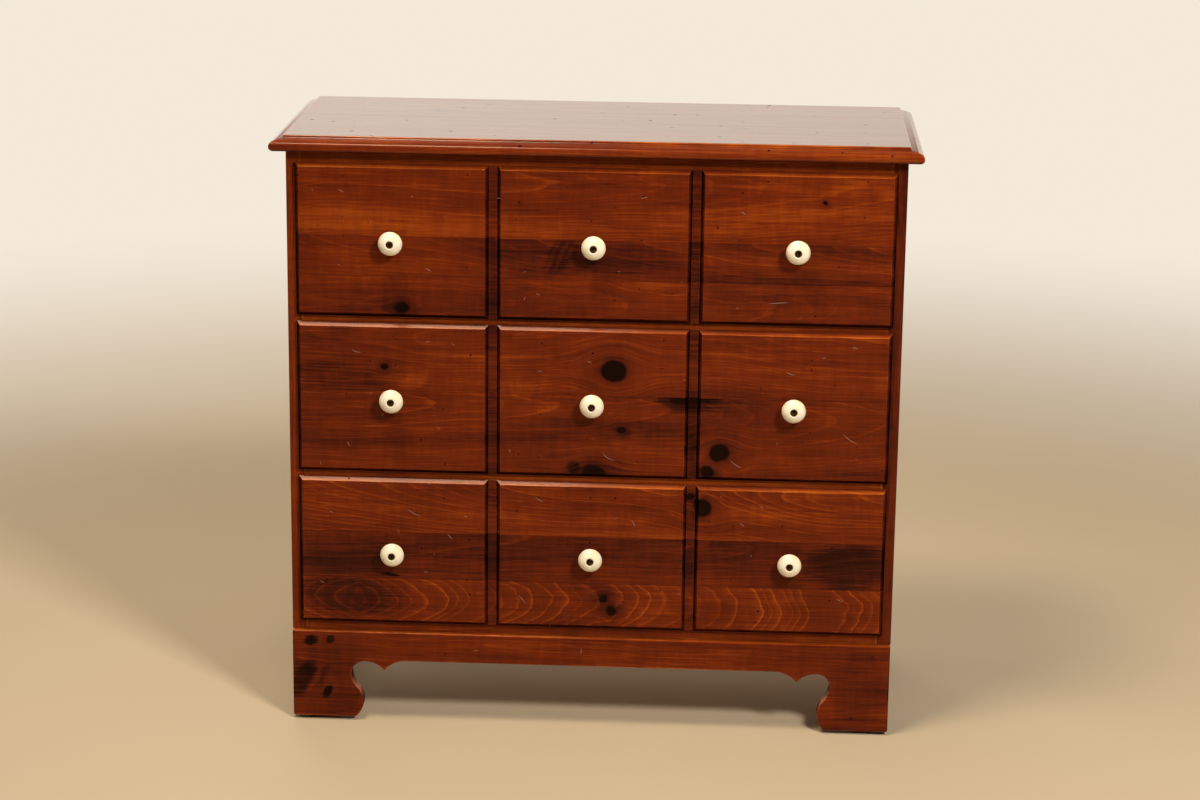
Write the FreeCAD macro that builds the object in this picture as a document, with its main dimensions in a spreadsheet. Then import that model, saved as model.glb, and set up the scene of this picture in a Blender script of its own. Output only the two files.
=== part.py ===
import FreeCAD, Part
import Sketcher
import math
import os
from collections import namedtuple

# A pine chest of three full-width drawers. Each drawer front is routed with two
# upright channels, so that the chest looks like nine small drawers.
#
# Frame: millimetres, +Z up, floor at Z = 0, the front looks along -Y and the
# origin is the bottom centre of the whole chest, knobs included.

OUT = "parts"
os.makedirs(OUT, exist_ok=True)

doc = FreeCAD.newDocument("Chest")


# ---------------------------------------------------------------- sizes

SIZES = {
    # Case
    "case_width": 778.0,          # over the two side boards
    "case_depth": 313.0,          # front edge of the sides to the back
    "side_thickness": 18.0,       # side boards
    "rail_thickness": 19.0,       # height of the rails between drawers
    "rail_depth": 45.0,           # front and back rails, front to back
    "top_rail_height": 20.0,      # rail under the top
    "runner_width": 45.0,         # side runners of the web frames
    "dado_depth": 5.0,            # housing of the web frames in the sides
    "dado_stop": 12.0,            # front end of each housing, behind the case front
    "back_thickness": 5.0,        # plywood back panel
    "rabbet_width": 9.0,          # seat of the back panel in each side
    "edge_round": 1.6,            # softened front edges of the sides
    # Top board and its moulding
    "top_thickness": 19.0,        # top board
    "top_overhang": 19.0,         # nose of the moulding beyond the case
    "flat_overhang": 2.5,         # flat of the top beyond the case
    "step_drop": 3.5,             # small upright step at the edge of the flat
    "crown_run": 13.5,            # end of the shallow crown, out from the flat
    "crown_drop": 7.0,            # end of the shallow crown, below the flat
    "crown_radius": 34.0,         # shallow crown of the moulding
    "nose_drop": 12.5,            # widest point of the nose, below the flat
    "nose_radius": 7.5,           # nose, above its widest point
    "under_run": 4.0,             # rounding under the nose, in from the nose
    "under_radius": 5.8,          # nose, below its widest point
    # Base board, glides and glue blocks
    "base_height": 123.0,         # floor to the top of the base board
    "base_thickness": 19.0,       # front base board
    "base_proud": 6.5,            # base board in front of the case
    "base_inset": 0.5,            # end of the base board inside the case side
    "base_top_round": 4.0,        # rounded top edge of the base board
    "base_end_round": 2.5,        # rounded ends of the base board
    "arch_height": 83.5,          # floor to the underside of the base board
    "glide_height": 5.0,          # furniture glides under the feet
    "glide_radius": 10.0,         # furniture glides
    "glide_inset": 16.0,          # glide centre in from the side
    "glide_setback": 8.0,         # front glide centre behind the case front
    "glide_rear_setback": 12.0,   # rear glide centre in from the back
    "block_size": 30.0,           # square glue blocks inside the feet
    "rail_block_length": 90.0,    # glue blocks under the bottom rail
    "rail_block_size": 19.0,      # glue blocks under the bottom rail, square
    "rail_block_pitch": 180.0,    # glue blocks under the bottom rail
    # Outline of the feet
    "foot_width": 82.0,           # toe of each foot, from the side
    "foot_bulge_radius": 28.0,    # rounded toe of the foot
    "ankle_out": 1.5,             # ankle, out from the toe
    "ankle_height": 47.0,         # ankle, above the floor
    "waist_in": 5.5,              # waist, in from the toe
    "waist_height": 66.0,         # waist, above the floor
    "ankle_radius": 40.0,         # hollow between ankle and waist
    "lobe_out": 13.0,             # top of the lobe, out from the toe
    "lobe_height": 81.5,          # top of the lobe, above the floor
    "lobe_radius": 17.5,          # lobe beside the foot
    "cusp_out": 38.0,             # cusp, out from the toe
    "cusp_height": 69.5,          # cusp, above the floor
    "shoulder_radius": 32.0,      # lobe beside the cusp
    "sweep_out": 66.5,            # end of the sweep, out from the toe
    "sweep_radius": 36.0,         # sweep from the cusp to the straight edge
    "side_foot_width": 75.0,      # feet of the side boards
    "side_arch_radius": 18.0,     # corners of the arch in the side boards
    # Drawers
    "opening_height": 185.0,      # between two rails
    "lip_side": 6.0,              # drawer lip over the side boards
    "lip_rail": 5.5,              # drawer lip over the rails
    "lip_thickness": 4.5,         # square edge of the lip
    "bevel": 5.0,                 # bevel round each raised field, width and depth
    "channel_floor": 10.75,       # flat floor of the upright channels
    "tongue_thickness": 9.5,      # part of the front inside the opening
    "tongue_gap": 1.0,            # between the tongue and the rails
    "side_gap": 1.5,              # between the drawer box and the side boards
    "seat_gap": 0.3,              # running clearance of a closed drawer
    "wall_thickness": 12.0,       # drawer sides and back
    "headroom": 8.7,              # between the drawer sides and the rail above
    "rear_gap": 10.0,             # behind a closed drawer
    "groove_depth": 5.0,          # grooves for the drawer bottom and back
    "bottom_thickness": 5.0,      # plywood drawer bottom
    "bottom_lift": 13.7,          # drawer bottom above the lower edge of the sides
    "tail_end": 27.0,             # dovetail, height at its wide end
    "tail_root": 21.0,            # dovetail, height at its narrow end
    # Drawer guides
    "guide_width": 20.0,          # centre guide on each web frame
    "guide_height": 10.0,         # centre guide
    "guide_start": 22.0,          # front end of the guide, behind the case front
    "guide_side_gap": 0.6,        # between the guide and the drawer's channel
    "guide_top_gap": 0.8,         # between the guide and the drawer's channel
    "channel_wall": 11.5,         # walls of the grooved strip under the drawer
    "channel_lift": 0.7,          # grooved strip above the lower edge of the sides
    # Knobs and their screws
    "knob_reach": 25.0,           # drawer face to the front of the cap
    "knob_foot_radius": 8.8,      # foot against the drawer
    "knob_neck_radius": 7.4,      # neck
    "knob_neck_start": 3.0,       # back end of the neck, out from the drawer
    "knob_neck_end": 7.0,         # front end of the neck, out from the drawer
    "knob_cap_radius": 15.3,      # cap where its rim meets the dome
    "knob_rim_height": 3.3,       # rounded rim of the cap
    "knob_rim_inset": 0.3,        # cap under its rim, in from the cap radius
    "knob_rim_radius": 3.0,       # rounding of the rim
    "knob_dome_radius": 18.0,     # dome of the cap
    "knob_dimple": 1.4,           # depth of the dimple for the screw head
    "knob_dimple_gap": 0.4,       # between the screw head and the floor's edge
    "knob_dimple_flare": 0.7,     # the dimple widens towards the front
    "bolt_radius": 2.0,           # knob screw
    "bolt_gap": 0.2,              # knob screw in its hole
    "bolt_head_radius": 4.3,      # knob screw head
    "bolt_head_height": 1.9,      # knob screw head
    "bolt_slot_width": 1.0,       # screwdriver slot
    "bolt_slot_depth": 0.8,       # screwdriver slot
    "bolt_tail": 5.4,             # knob screw behind the drawer front
    "nut_radius": 5.6,            # square nut, centre to corner
    "nut_thickness": 3.2,         # square nut
    # Screws of the top, staples of the back
    "screw_radius": 2.0,          # wood screws that hold the top
    "screw_length": 32.0,         # wood screws that hold the top
    "screw_head_radius": 4.0,     # countersunk head
    "screw_head_height": 2.6,     # countersunk head
    "screw_pitch": 300.0,         # between the screws of a rail
    "staple_wire": 1.2,           # square wire of the back panel's staples
    "staple_crown": 11.0,         # staples, over the crown
    "staple_length": 19.0,        # staples, over the legs
    "staple_inset": 4.5,          # staples in from the edge of the back panel
}

ROWS = ("lower", "middle", "upper")
KNOB_SIDES = {"left": -1, "centre": 0, "right": 1}
TAILS = 4
SCREWS_PER_RAIL = 3
STAPLES_PER_EDGE = 7
GLUE_BLOCKS_UNDER_RAIL = 3

sheet = doc.addObject("Spreadsheet::Sheet", "Sizes")


class Dim:
    """A length: its number, and the sheet expression that gives it."""

    def __init__(self, value, text):
        self.value = value
        self.text = text

    def combine(self, sign, other, value):
        return Dim(value, "(" + self.text + " " + sign + " " + other.text + ")")

    def __add__(self, other):
        other = as_dim(other)
        return self.combine("+", other, self.value + other.value)

    def __sub__(self, other):
        other = as_dim(other)
        return self.combine("-", other, self.value - other.value)

    def __mul__(self, other):
        other = as_dim(other)
        return self.combine("*", other, self.value * other.value)

    def __truediv__(self, other):
        other = as_dim(other)
        return self.combine("/", other, self.value / other.value)

    def __neg__(self):
        return Dim(-self.value, "(-1 * " + self.text + ")")


def as_dim(number):
    if isinstance(number, Dim):
        return number
    return Dim(float(number), "(" + repr(float(number)) + ")")


def root(dim):
    """The square root of a size."""
    return Dim(math.sqrt(dim.value), "sqrt(" + dim.text + ")")


def fill_sheet():
    """Write the driving sizes into the sheet and return them as Dims by alias."""
    for row, (alias, number) in enumerate(SIZES.items(), start=1):
        cell = "B" + str(row)
        sheet.set("A" + str(row), alias)
        sheet.set(cell, str(number))
        sheet.setAlias(cell, alias)
    dims = {alias: Dim(number, "Sizes." + alias) for alias, number in SIZES.items()}
    return namedtuple("Sizes", dims)(**dims)


S = fill_sheet()
doc.recompute()

# ---------------------------------------------------------------- places

ZERO = as_dim(0)

# X, from the middle plane
case_side = S.case_width / 2
inner_side = case_side - S.side_thickness
housing_side = inner_side + S.dado_depth
lip_side_edge = inner_side + S.lip_side
box_side = inner_side - S.side_gap
box_inner_side = box_side - S.wall_thickness
groove_side = box_inner_side + S.groove_depth
field_outer = lip_side_edge - S.bevel
channel_pitch = (field_outer * 2 + S.channel_floor + S.bevel * 2) / 3
channel_half = S.channel_floor / 2

# Y, from the front of the case
front_reach = S.seat_gap + S.lip_thickness + S.bevel + S.knob_reach + S.bolt_head_height - S.knob_dimple
case_front = (front_reach - S.case_depth) / 2
back_face = S.case_depth - S.back_thickness
back_rail_front = back_face - S.rail_depth
lip_back = -S.seat_gap
lip_front = lip_back - S.lip_thickness
field_face = lip_front - S.bevel
tongue_back = lip_back + S.tongue_thickness
box_rear = back_face - S.rear_gap
box_back_front = box_rear - S.wall_thickness

# Z, from the floor
wall_height = S.opening_height - S.seat_gap - S.headroom
row_pitch = S.opening_height + S.rail_thickness
first_opening = S.base_height + S.rail_thickness
case_top = S.base_height + row_pitch * len(ROWS) + S.top_rail_height
top_rail_bottom = case_top - S.top_rail_height

nodes = {}

Corner = namedtuple("Corner", "across up radius turn", defaults=(None, 1))
LEFT_TURN = 1
RIGHT_TURN = -1
TOUCH = 0.01


# ---------------------------------------------------------------- building helpers

def bind(thing, sizes):
    """Bind properties of a document object to sheet expressions."""
    for name, size in sizes.items():
        thing.setExpression(name, as_dim(size).text)


def node(name, thing):
    """Keep a finished sub-part under the name that its file gets."""
    thing.Label = name
    nodes[name] = thing
    return thing


def box(name, across, depth, height):
    """A board between pairs of planes: X, Y from the case front, Z."""
    board = doc.addObject("Part::Box", name)
    bind(board, {
        "Length": across[1] - across[0],
        "Width": depth[1] - depth[0],
        "Height": height[1] - height[0],
        "Placement.Base.x": across[0],
        "Placement.Base.y": case_front + depth[0],
        "Placement.Base.z": height[0],
    })
    return board


def either_side(sign, inner, outer):
    """The low and high X of a piece that lies between two planes on one side."""
    if sign > 0:
        return inner, outer
    return -outer, -inner


def fuse(name, shapes):
    joined = doc.addObject("Part::MultiFuse", name)
    joined.Shapes = shapes
    joined.Refine = True
    return joined


def cut(name, base, tools):
    """Cut one or more tools from a base."""
    tool = tools[0]
    if len(tools) > 1:
        tool = doc.addObject("Part::Compound", name + "_cutters")
        tool.Links = tools
    pocketed = doc.addObject("Part::Cut", name)
    pocketed.Base = base
    pocketed.Tool = tool
    pocketed.Refine = True
    return pocketed


def group(name, solids):
    gathered = doc.addObject("Part::Compound", name)
    gathered.Links = solids
    return gathered


def mirrored(path):
    """The same path on the other side of the middle, walked the other way."""
    bends = [(corner.radius, corner.turn) for corner in path[:-1]]
    turned = [Corner(-corner.across, corner.up) for corner in reversed(path)]
    bent = [Corner(corner.across, corner.up, radius, turn)
            for corner, (radius, turn) in zip(turned, reversed(bends))]
    return bent + [turned[-1]]


def moved(path, across, up):
    return [Corner(corner.across + across, corner.up + up, corner.radius, corner.turn)
            for corner in path]


def add_outline(sketch, corners):
    """Draw one closed outline, with every corner and radius bound to the sheet."""
    ends = []
    for index, corner in enumerate(corners):
        following = corners[(index + 1) % len(corners)]
        start = FreeCAD.Vector(corner.across.value, corner.up.value, 0)
        finish = FreeCAD.Vector(following.across.value, following.up.value, 0)
        if corner.radius is None:
            edge = sketch.addGeometry(Part.LineSegment(start, finish))
            ends.append((edge, 1, 2))
            continue
        radius = corner.radius.value
        chord = finish - start
        rise = math.sqrt(radius ** 2 - (chord.Length / 2) ** 2)
        normal = FreeCAD.Vector(-chord.y, chord.x, 0).normalize() * corner.turn
        centre = (start + finish) * 0.5 + normal * rise
        first, last = (start, finish) if corner.turn == LEFT_TURN else (finish, start)
        angles = [math.atan2(point.y - centre.y, point.x - centre.x) for point in (first, last)]
        if angles[1] < angles[0]:
            angles[1] += 2 * math.pi
        circle = Part.Circle(centre, FreeCAD.Vector(0, 0, 1), radius)
        edge = sketch.addGeometry(Part.ArcOfCircle(circle, angles[0], angles[1]))
        ends.append((edge, 1, 2) if corner.turn == LEFT_TURN else (edge, 2, 1))
        constraint = sketch.addConstraint(Sketcher.Constraint("Radius", edge, radius))
        sketch.setExpression("Constraints[%d]" % constraint, corner.radius.text)
    for index, corner in enumerate(corners):
        edge, start_point, _ = ends[index]
        last_edge, _, last_point = ends[index - 1]
        sketch.addConstraint(Sketcher.Constraint("Coincident", last_edge, last_point, edge, start_point))
        for kind, place in (("DistanceX", corner.across), ("DistanceY", corner.up)):
            constraint = sketch.addConstraint(
                Sketcher.Constraint(kind, -1, 1, edge, start_point, place.value))
            sketch.setExpression("Constraints[%d]" % constraint, place.text)


def sketch_on(body, plane, outlines):
    """A sketch on one of the body's own origin planes."""
    sketch = body.newObject("Sketcher::SketchObject", body.Name + "_sketch")
    planes = {feature.Role: feature for feature in body.Origin.OriginFeatures}
    sketch.AttachmentSupport = [(planes[plane], "")]
    sketch.MapMode = "FlatFace"
    for corners in outlines:
        add_outline(sketch, corners)
    return sketch


def padded_body(name, plane, outlines, length, back_to_front=False):
    """A body padded from outlines; XZ pads run towards -Y unless turned round."""
    body = doc.addObject("PartDesign::Body", name)
    sketch = sketch_on(body, plane, outlines)
    pad = body.newObject("PartDesign::Pad", name + "_pad")
    pad.Profile = sketch
    pad.Reversed = back_to_front
    bind(pad, {"Length": length})
    bind(body, {"Placement.Base.y": case_front})
    doc.recompute()
    return body


def turned_body(name, corners):
    """A body turned about its own Y axis; across is the radius, up is Y."""
    body = doc.addObject("PartDesign::Body", name)
    sketch = sketch_on(body, "XY_Plane", [corners])
    turning = body.newObject("PartDesign::Revolution", name + "_turning")
    turning.Profile = sketch
    turning.ReferenceAxis = (sketch, ["V_Axis"])
    turning.Angle = 360
    return body


def round_edges(body, radius, wanted):
    """Round the edges of a body whose middle point and direction pass a test."""
    last = body.Tip
    names = []
    for index, edge in enumerate(last.Shape.Edges, start=1):
        middle = edge.valueAt((edge.FirstParameter + edge.LastParameter) / 2)
        along = edge.tangentAt(edge.FirstParameter)
        if wanted(middle, along):
            names.append("Edge%d" % index)
    fillet = body.newObject("PartDesign::Fillet", body.Name + "_round_%d" % len(body.Group))
    fillet.Base = (last, names)
    bind(fillet, {"Radius": radius})
    doc.recompute()


def near(number, dim):
    """Whether a measured place lies on a plane of the model."""
    return abs(number - as_dim(dim).value) < TOUCH


# ---------------------------------------------------------------- top

def moulded_end(flat, nose):
    """Moulding from the underside to the flat, at the +across end of a board."""
    under = S.top_thickness
    return [
        Corner(nose - S.under_run, ZERO, S.under_radius, LEFT_TURN),
        Corner(nose, under - S.nose_drop, S.nose_radius, LEFT_TURN),
        Corner(flat + S.crown_run, under - S.crown_drop, S.crown_radius, LEFT_TURN),
        Corner(flat, under - S.step_drop),
        Corner(flat, under),
    ]


def make_top():
    """The top board: moulded front and ends that meet in mitres, plain back."""
    end = moulded_end(case_side + S.flat_overhang, case_side + S.top_overhang)
    sides = padded_body("top_sides", "XZ_Plane", [end + mirrored(end)],
                        S.case_depth + S.top_overhang, back_to_front=True)
    bind(sides, {"Placement.Base.y": case_front - S.top_overhang, "Placement.Base.z": case_top})
    nose = moulded_end(S.flat_overhang, S.top_overhang)
    front = padded_body("top_front", "YZ_Plane", [front_section(nose)], S.case_width + S.top_overhang * 2)
    bind(front, {"Placement.Base.x": -case_side - S.top_overhang, "Placement.Base.z": case_top})
    top = doc.addObject("Part::MultiCommon", "top_common")
    top.Shapes = [sides, front]
    top.Refine = True
    node("top_board", top)


def front_section(nose):
    """Section across the top board, moulded at its front edge only."""
    return mirrored(nose) + [Corner(S.case_depth, ZERO), Corner(S.case_depth, S.top_thickness)]


# ---------------------------------------------------------------- base and sides

def foot_curve(toe):
    """Inner edge of a foot, from the toe on the floor up to its waist."""
    return [
        Corner(toe, S.glide_height, S.foot_bulge_radius, LEFT_TURN),
        Corner(toe + S.ankle_out, S.ankle_height, S.ankle_radius, RIGHT_TURN),
        Corner(toe - S.waist_in, S.waist_height, S.lobe_radius, RIGHT_TURN),
    ]


def make_base_board():
    """Front base board: bracket feet with a lobe, a cusp and a straight middle."""
    end = case_side - S.base_inset
    toe = -end + S.foot_width
    left = [Corner(-end, S.glide_height)] + foot_curve(toe) + [
        Corner(toe + S.lobe_out, S.lobe_height, S.shoulder_radius, RIGHT_TURN),
        Corner(toe + S.cusp_out, S.cusp_height, S.sweep_radius, RIGHT_TURN),
        Corner(toe + S.sweep_out, S.arch_height),
    ]
    outline = left + mirrored(left) + [Corner(end, S.base_height), Corner(-end, S.base_height)]
    board = padded_body("base_board", "XZ_Plane", [outline], S.base_thickness, back_to_front=True)
    bind(board, {"Placement.Base.y": case_front - S.base_proud})
    doc.recompute()
    round_edges(board, S.base_top_round,
                lambda middle, along: near(middle.z, S.base_height) and near(middle.y, ZERO))
    round_edges(board, S.base_end_round,
                lambda middle, along: near(abs(along.z), 1) and near(abs(middle.x), end)
                and near(middle.y, ZERO))
    node("base_front", board)


def make_side(name, sign):
    """A side board: arched foot, notch for the base board, housings, rabbet."""
    notch = S.base_thickness - S.base_proud
    front_toe = S.side_foot_width
    rear_toe = S.case_depth - S.side_foot_width
    front_foot = foot_curve(front_toe)
    front_foot[-1] = front_foot[-1]._replace(radius=S.side_arch_radius)
    arch = front_foot + [Corner(front_toe + S.lobe_out, S.arch_height)]
    arch_back = moved(mirrored(arch), front_toe + rear_toe, ZERO)
    outline = [Corner(notch, S.glide_height)] + arch + arch_back + [
        Corner(S.case_depth, S.glide_height),
        Corner(S.case_depth, case_top),
        Corner(ZERO, case_top),
        Corner(ZERO, S.base_height),
        Corner(notch, S.base_height),
    ]
    board = padded_body(name + "_board", "YZ_Plane", [outline], S.side_thickness)
    left_plane = either_side(sign, inner_side, case_side)[0]
    bind(board, {"Placement.Base.x": left_plane})
    doc.recompute()
    outer = S.side_thickness if sign > 0 else ZERO
    round_edges(board, S.edge_round,
                lambda middle, along: near(abs(along.z), 1) and near(middle.x, outer)
                and near(middle.y, ZERO))
    housing = either_side(sign, inner_side, housing_side)
    cutters = [box(name + "_rabbet", either_side(sign, inner_side, inner_side + S.rabbet_width),
                   (back_face, S.case_depth), (S.base_height, case_top))]
    for index in range(len(ROWS) + 1):
        bottom = S.base_height + row_pitch * index
        thickness = S.rail_thickness if index < len(ROWS) else S.top_rail_height
        cutters.append(box("%s_housing_%d" % (name, index), housing,
                           (S.dado_stop, back_face), (bottom, bottom + thickness)))
    node(name, cut(name + "_cut", board, cutters))


def make_back():
    """Thin back panel, let into the rabbets of the sides."""
    edge = inner_side + S.rabbet_width
    node("back_panel", box("back", (-edge, edge), (back_face, S.case_depth), (S.base_height, case_top)))


# ---------------------------------------------------------------- web frames

def make_frame(names, bottom, thickness):
    """One web frame: front rail, back rail and a runner along each side."""
    height = (bottom, bottom + thickness)
    shown = box(names[0] + "_shown", (-inner_side, inner_side), (ZERO, S.rail_depth), height)
    housed = box(names[0] + "_housed", (-housing_side, housing_side), (S.dado_stop, S.rail_depth), height)
    node(names[0], fuse(names[0] + "_fuse", [shown, housed]))
    node(names[1], box(names[1] + "_bar", (-housing_side, housing_side), (back_rail_front, back_face), height))
    for name, sign in ((names[2], -1), (names[3], 1)):
        across = either_side(sign, inner_side - S.runner_width, housing_side)
        node(name, box(name + "_bar", across, (S.rail_depth, back_rail_front), height))


def make_guide(name, rail_top):
    """Hardwood strip that steers the drawer, glued on the web frame's rails."""
    half = S.guide_width / 2
    node(name, box(name + "_strip", (-half, half), (S.guide_start, back_face),
                   (rail_top, rail_top + S.guide_height)))


# ---------------------------------------------------------------- drawers

def tail_wedges(name, sign, box_bottom):
    """Dovetails of a drawer side: prisms that widen towards the front."""
    pitch = wall_height / TAILS
    across = either_side(sign, box_inner_side, box_side)
    tails = []
    for index in range(TAILS):
        middle = box_bottom + pitch * (index + 0.5)
        tail = doc.addObject("Part::Wedge", "%s_tail_%d" % (name, index))
        bind(tail, {
            "Xmin": across[0], "Xmax": across[1], "X2min": across[0], "X2max": across[1],
            "Ymin": lip_back, "Ymax": tongue_back,
            "Zmin": middle - S.tail_end / 2, "Zmax": middle + S.tail_end / 2,
            "Z2min": middle - S.tail_root / 2, "Z2max": middle + S.tail_root / 2,
            "Placement.Base.y": case_front,
        })
        tails.append(tail)
    return tails


def raised_field(name, low, high, bottom, top):
    """A raised field with a bevel on all four sides; it rises towards -Y."""
    field = doc.addObject("Part::Wedge", name)
    bind(field, {
        "Ymin": field_face, "Ymax": lip_front,
        "Xmin": low + S.bevel, "Xmax": high - S.bevel, "X2min": low, "X2max": high,
        "Zmin": bottom + S.bevel, "Zmax": top - S.bevel, "Z2min": bottom, "Z2max": top,
        "Placement.Base.y": case_front,
    })
    return field


def bolt_hole(name, across, height):
    """Round hole through the drawer front for a knob screw."""
    hole = doc.addObject("Part::Cylinder", name)
    hole.Placement = FreeCAD.Placement(FreeCAD.Vector(), FreeCAD.Rotation(FreeCAD.Vector(1, 0, 0), 90))
    bind(hole, {
        "Radius": S.bolt_radius + S.bolt_gap,
        "Height": tongue_back - field_face,
        "Placement.Base.x": across,
        "Placement.Base.y": case_front + tongue_back,
        "Placement.Base.z": height,
    })
    return hole


def make_drawer_front(name, opening, box_bottom, knob_height):
    """Lipped front: a tongue in the opening, a lip over it, three raised fields."""
    bottom = opening - S.lip_rail
    top = opening + S.opening_height + S.lip_rail
    lip = box(name + "_lip", (-lip_side_edge, lip_side_edge), (lip_front, lip_back), (bottom, top))
    tongue = box(name + "_tongue", (-box_side, box_side), (lip_back, tongue_back),
                 (opening + S.tongue_gap, opening + S.opening_height - S.tongue_gap))
    edges = [-lip_side_edge, -channel_pitch / 2 - channel_half, -channel_pitch / 2 + channel_half,
             channel_pitch / 2 - channel_half, channel_pitch / 2 + channel_half, lip_side_edge]
    fields = [raised_field("%s_field_%d" % (name, index), edges[2 * index], edges[2 * index + 1], bottom, top)
              for index in range(len(KNOB_SIDES))]
    front = fuse(name + "_fuse", [lip, tongue] + fields)
    cutters = tail_wedges(name + "_left_socket", -1, box_bottom)
    cutters += tail_wedges(name + "_right_socket", 1, box_bottom)
    cutters.append(box(name + "_groove", (-groove_side, groove_side),
                       (tongue_back - S.groove_depth, tongue_back), bottom_planes(box_bottom)))
    for side, step in KNOB_SIDES.items():
        cutters.append(bolt_hole("%s_%s_hole" % (name, side), channel_pitch * step, knob_height))
    node(name + "_front", cut(name + "_front_cut", front, cutters))


def bottom_planes(box_bottom):
    """Lower and upper face of a drawer's bottom panel."""
    lower = box_bottom + S.bottom_lift
    return lower, lower + S.bottom_thickness


def make_drawer_side(name, sign, box_bottom):
    """Drawer side with dovetails, a groove for the bottom and one for the back."""
    wall_top = box_bottom + wall_height
    wall = box(name + "_wall", either_side(sign, box_inner_side, box_side),
               (tongue_back, box_rear), (box_bottom, wall_top))
    joined = fuse(name + "_fuse", [wall] + tail_wedges(name, sign, box_bottom))
    grooved = either_side(sign, box_inner_side, groove_side)
    panel = bottom_planes(box_bottom)
    cutters = [
        box(name + "_bottom_groove", grooved, (tongue_back - S.groove_depth, box_rear), panel),
        box(name + "_back_groove", grooved, (box_back_front, box_rear), (panel[1], wall_top)),
    ]
    node(name, cut(name + "_cut", joined, cutters))


def make_channel(name, box_bottom):
    """Grooved strip under the drawer bottom that rides over the centre guide."""
    half_groove = S.guide_width / 2 + S.guide_side_gap
    half = half_groove + S.channel_wall
    lower = box_bottom + S.channel_lift
    upper = bottom_planes(box_bottom)[0]
    groove_top = box_bottom - S.seat_gap + S.guide_height + S.guide_top_gap
    strip = box(name + "_strip", (-half, half), (tongue_back, box_rear), (lower, upper))
    groove = box(name + "_slot", (-half_groove, half_groove), (tongue_back, box_rear), (lower, groove_top))
    node(name, cut(name + "_cut", strip, [groove]))


def make_knob(name, across, height):
    """Glazed ceramic knob: foot, neck, mushroom cap and a dimple for the screw."""
    bore = S.bolt_radius + S.bolt_gap
    seat = S.bolt_head_radius + S.knob_dimple_gap
    crown = seat + S.knob_dimple_flare
    dimple_floor = -(S.knob_reach - S.knob_dimple)
    sphere = S.knob_dome_radius * S.knob_dome_radius
    dome_centre = root(sphere - crown * crown) - S.knob_reach
    cap_edge = dome_centre - root(sphere - S.knob_cap_radius * S.knob_cap_radius)
    profile = [
        Corner(bore, dimple_floor),
        Corner(seat, dimple_floor),
        Corner(crown, -S.knob_reach, S.knob_dome_radius, LEFT_TURN),
        Corner(S.knob_cap_radius, cap_edge, S.knob_rim_radius, LEFT_TURN),
        Corner(S.knob_cap_radius - S.knob_rim_inset, cap_edge + S.knob_rim_height),
        Corner(S.knob_neck_radius, -S.knob_neck_end),
        Corner(S.knob_neck_radius, -S.knob_neck_start),
        Corner(S.knob_foot_radius, ZERO),
        Corner(bore, ZERO),
    ]
    knob = turned_body(name + "_turned", profile)
    bind(knob, {"Placement.Base.x": across, "Placement.Base.y": case_front + field_face,
                "Placement.Base.z": height})
    node(name, knob)


def make_bolt(name, across, height):
    """Knob screw with a slotted round head, and its square nut."""
    head_front = -(S.bolt_head_height - S.knob_dimple + S.knob_reach)
    head_seat = -(S.knob_reach - S.knob_dimple)
    tail = tongue_back - field_face + S.bolt_tail
    sphere = S.bolt_head_radius * S.bolt_head_radius + S.bolt_head_height * S.bolt_head_height
    profile = [
        Corner(ZERO, head_front, sphere / (S.bolt_head_height * 2), LEFT_TURN),
        Corner(S.bolt_head_radius, head_seat),
        Corner(S.bolt_radius, head_seat),
        Corner(S.bolt_radius, tail),
        Corner(ZERO, tail),
    ]
    shank = turned_body(name + "_shank", profile)
    bind(shank, {"Placement.Base.x": across, "Placement.Base.y": case_front + field_face,
                 "Placement.Base.z": height})
    front = field_face + head_front
    slot = box(name + "_slot", (across - S.bolt_head_radius, across + S.bolt_head_radius),
               (front, front + S.bolt_slot_depth),
               (height - S.bolt_slot_width / 2, height + S.bolt_slot_width / 2))
    bolt = cut(name + "_bolt", shank, [slot])
    blank = doc.addObject("Part::Prism", name + "_blank")
    blank.Polygon = 4
    bore = doc.addObject("Part::Cylinder", name + "_bore")
    facing_back = FreeCAD.Placement(FreeCAD.Vector(), FreeCAD.Rotation(FreeCAD.Vector(1, 0, 0), -90))
    for piece in (blank, bore):
        piece.Placement = facing_back
        bind(piece, {
            "Height": S.nut_thickness,
            "Placement.Base.x": across,
            "Placement.Base.y": case_front + tongue_back,
            "Placement.Base.z": height,
        })
    bind(blank, {"Circumradius": S.nut_radius})
    bind(bore, {"Radius": S.bolt_radius + S.bolt_gap})
    return [bolt, cut(name + "_nut", blank, [bore])]


def make_drawer(row, index):
    """One full-width drawer with everything that travels with it."""
    name = row + "_drawer"
    opening = first_opening + row_pitch * index
    box_bottom = opening + S.seat_gap
    knob_height = opening + S.opening_height / 2
    make_drawer_front(name, opening, box_bottom, knob_height)
    make_drawer_side(name + "_left_side", -1, box_bottom)
    make_drawer_side(name + "_right_side", 1, box_bottom)
    panel = bottom_planes(box_bottom)
    node(name + "_bottom", box(name + "_panel", (-groove_side, groove_side),
                               (tongue_back - S.groove_depth, box_rear), panel))
    node(name + "_back", box(name + "_rear", (-groove_side, groove_side),
                             (box_back_front, box_rear), (panel[1], box_bottom + wall_height)))
    make_channel(name + "_channel", box_bottom)
    bolts = []
    for side, step in KNOB_SIDES.items():
        make_knob("%s_%s_knob" % (name, side), channel_pitch * step, knob_height)
        bolts += make_bolt("%s_%s" % (name, side), channel_pitch * step, knob_height)
    node(name + "_knob_screws", group(name + "_fixings", bolts))


# ---------------------------------------------------------------- small parts

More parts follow.
